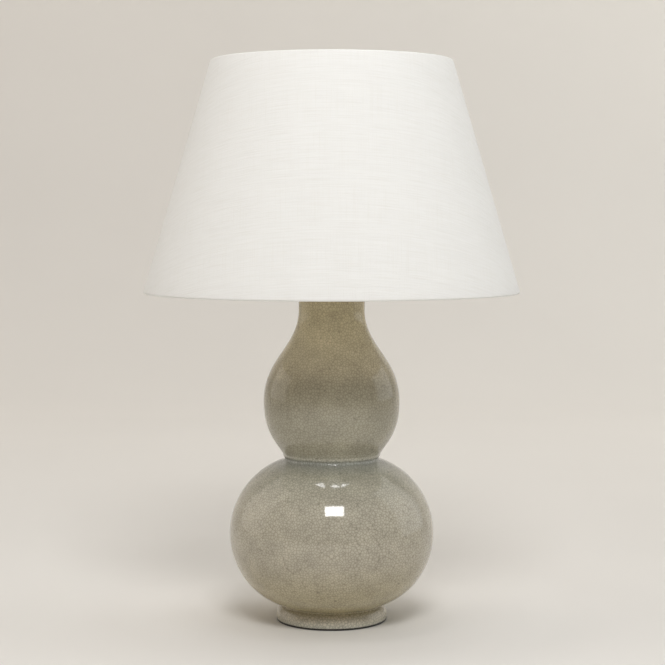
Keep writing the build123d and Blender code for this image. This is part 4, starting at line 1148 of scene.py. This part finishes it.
# %% Lampholder
cup_low = ends_of("lampholder_cup")[0]
bushing_top, cup_radius = cup_low + 6.5 * mm, 17.8 * mm
cup_path = rounded(
    [(tube_thread, bushing_top), (11 * mm, bushing_top), (cup_radius, cup_low + 14.5 * mm),
     (cup_radius, cup_low + 24 * mm)],
    3 * mm, 12,
)
bushing_profile = soft_ring(tube_thread, 8 * mm, cup_low, bushing_top, 0.3 * mm, 4)
cup = [
    turned(walled(evenly(cup_path, 0.3 * mm), -0.8 * mm), 120, closed=True),
    turned(bushing_profile, closed=True),
]
add_piece("holder_cup", cup, "lamp_brass", "base", ["lampholder_cup"])
shell_radius, shell_top = 17.75 * mm, cup_low + 57 * mm
shell_path = rounded(
    [(shell_radius, cup_low + 19 * mm), (shell_radius, shell_top), (15.75 * mm, shell_top)],
    0.9 * mm, 10,
)
shell = turned(walled(evenly(shell_path, 0.25 * mm), 0.8 * mm), 120, closed=True)
add_piece("holder_shell", [shell], "lamp_brass", "base", ["lampholder_shell"])

# %% [markdown]
# The knob is moulded with twelve flutes to grip.  Where a flute's circle cuts the knob's circle,
# the radius is the nearer crossing of that circle.

# %% Switch
switch_low, switch_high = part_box("switch_knob")
switch_height = (switch_low[2] + switch_high[2]) / 2
switch_centre = (0, 0, switch_height)
knob_radius, flute_radius, flutes = 6.2 * mm, 0.9 * mm, 12


def fluted(radius, height, angle):
    """Take the flutes' circles out of the edge: r = R cos d - root(f^2 - R^2 sin^2 d)."""
    off = (angle + tau / 2 / flutes) % (tau / flutes) - tau / 2 / flutes
    depth = np.sqrt(np.maximum(flute_radius**2 - (knob_radius * np.sin(off)) ** 2, 0))
    return np.minimum(radius, knob_radius * np.cos(off) - depth + (depth == 0) * knob_radius)


knob_low, knob_face = switch_low[0], switch_high[0]
dish = knob_face - 0.3 * mm
knob_profile = rounded(
    [(0, knob_low), (knob_radius, knob_low), (knob_radius, knob_face), (4.4 * mm, knob_face),
     (4.0 * mm, dish), (0, dish)],
    [0.3 * mm, 0.6 * mm, 0.1 * mm, 0.1 * mm], 6,
)
knob = turned(knob_profile, 288, "X", switch_centre, bulge=fluted)
add_piece("knob", [knob], "knob_plastic", "switch", ["switch_knob"])
collar_profile = soft_ring(2.05 * mm, 4.2 * mm, *ends_of("switch_collar", "X"), 0.3 * mm, 5)
collar = turned(collar_profile, 64, "X", switch_centre, closed=True)
add_piece("collar", [collar], "lamp_brass", "base", ["switch_collar"])
shaft_profile = soft_ring(0, 2 * mm, *ends_of("switch_shaft", "X"), 0.3 * mm, 5)
shaft = turned(shaft_profile, 48, "X", switch_centre)
add_piece("shaft", [shaft], "lamp_brass", "switch", ["switch_shaft"])

# %% [markdown]
# The bulb's glass is a neck that swells into a ball, blown so thin that it needs a true wall.

# %% Bulb
bulb_neck, bulb_top = ends_of("bulb_glass")
bulb_tip, ball_size = bulb_top - 108 * mm, 30 * mm


def envelope(inset):
    """The bulb's side from its neck to the top of its ball, moved in by a thickness."""
    radius = ball_size - inset
    neck = np.array([13 * mm - inset, bulb_neck])
    widest = np.array([radius, bulb_top - ball_size])
    swell = bezier(neck, neck + (0, 34 * mm), widest - (0, 24 * mm), widest, 40)
    dome = circle_points((0, widest[1]), radius, np.linspace(0, tau / 4, 30)[1:])
    return np.vstack([swell, dome])


glass_profile = np.vstack([envelope(0)[::-1], envelope(0.8 * mm)])
add_piece("bulb_envelope", [turned(glass_profile, 128)], "bulb_frost", "bulb", ["bulb_glass"])

root, crest, pitch, wall = 12.1 * mm, 13.2 * mm, 3.63 * mm, 0.4 * mm
thread_low = bulb_tip + 6 * mm
thread_high = thread_low + 4 * pitch
thread_rows = np.linspace(thread_low, thread_high, 97)
threaded_side = np.stack([np.full(97, (root + crest) / 2), thread_rows], axis=1)
cap_side = np.vstack([
    [(9.2 * mm, bulb_tip + 4.2 * mm)],
    threaded_side,
    [(13.6 * mm, bulb_tip + 23 * mm), (13.6 * mm, bulb_tip + 27 * mm)],
])


def threaded(radius, height, angle):
    """Roll a screw thread: the radius rises and falls with height/pitch - angle/turn."""
    fade = np.clip(np.minimum(height - thread_low, thread_high - height) / (pitch / 2), 0, 1)
    wave = np.sin(height / pitch * tau - angle)
    return radius + (crest - root) / 2 * wave * fade


screw_cap = turned(walled(cap_side, wall), 96, closed=True, bulge=threaded)
add_piece("bulb_screw_cap", [screw_cap], "bulb_cap_metal", "bulb", ["bulb_cap"])

# %% [markdown]
# ## Finishes for the rest
# Every solid that is still the CAD's own, such as the contacts inside the lampholder, takes the
# finish of its slot in the record.

# %% Dress the CAD nodes
for subpart in frame["record"]["subparts"]:
    node = frame["nodes"][subpart["node"]]
    for slot in node.material_slots:
        slot.material = finishes[subpart["material_slot"]]
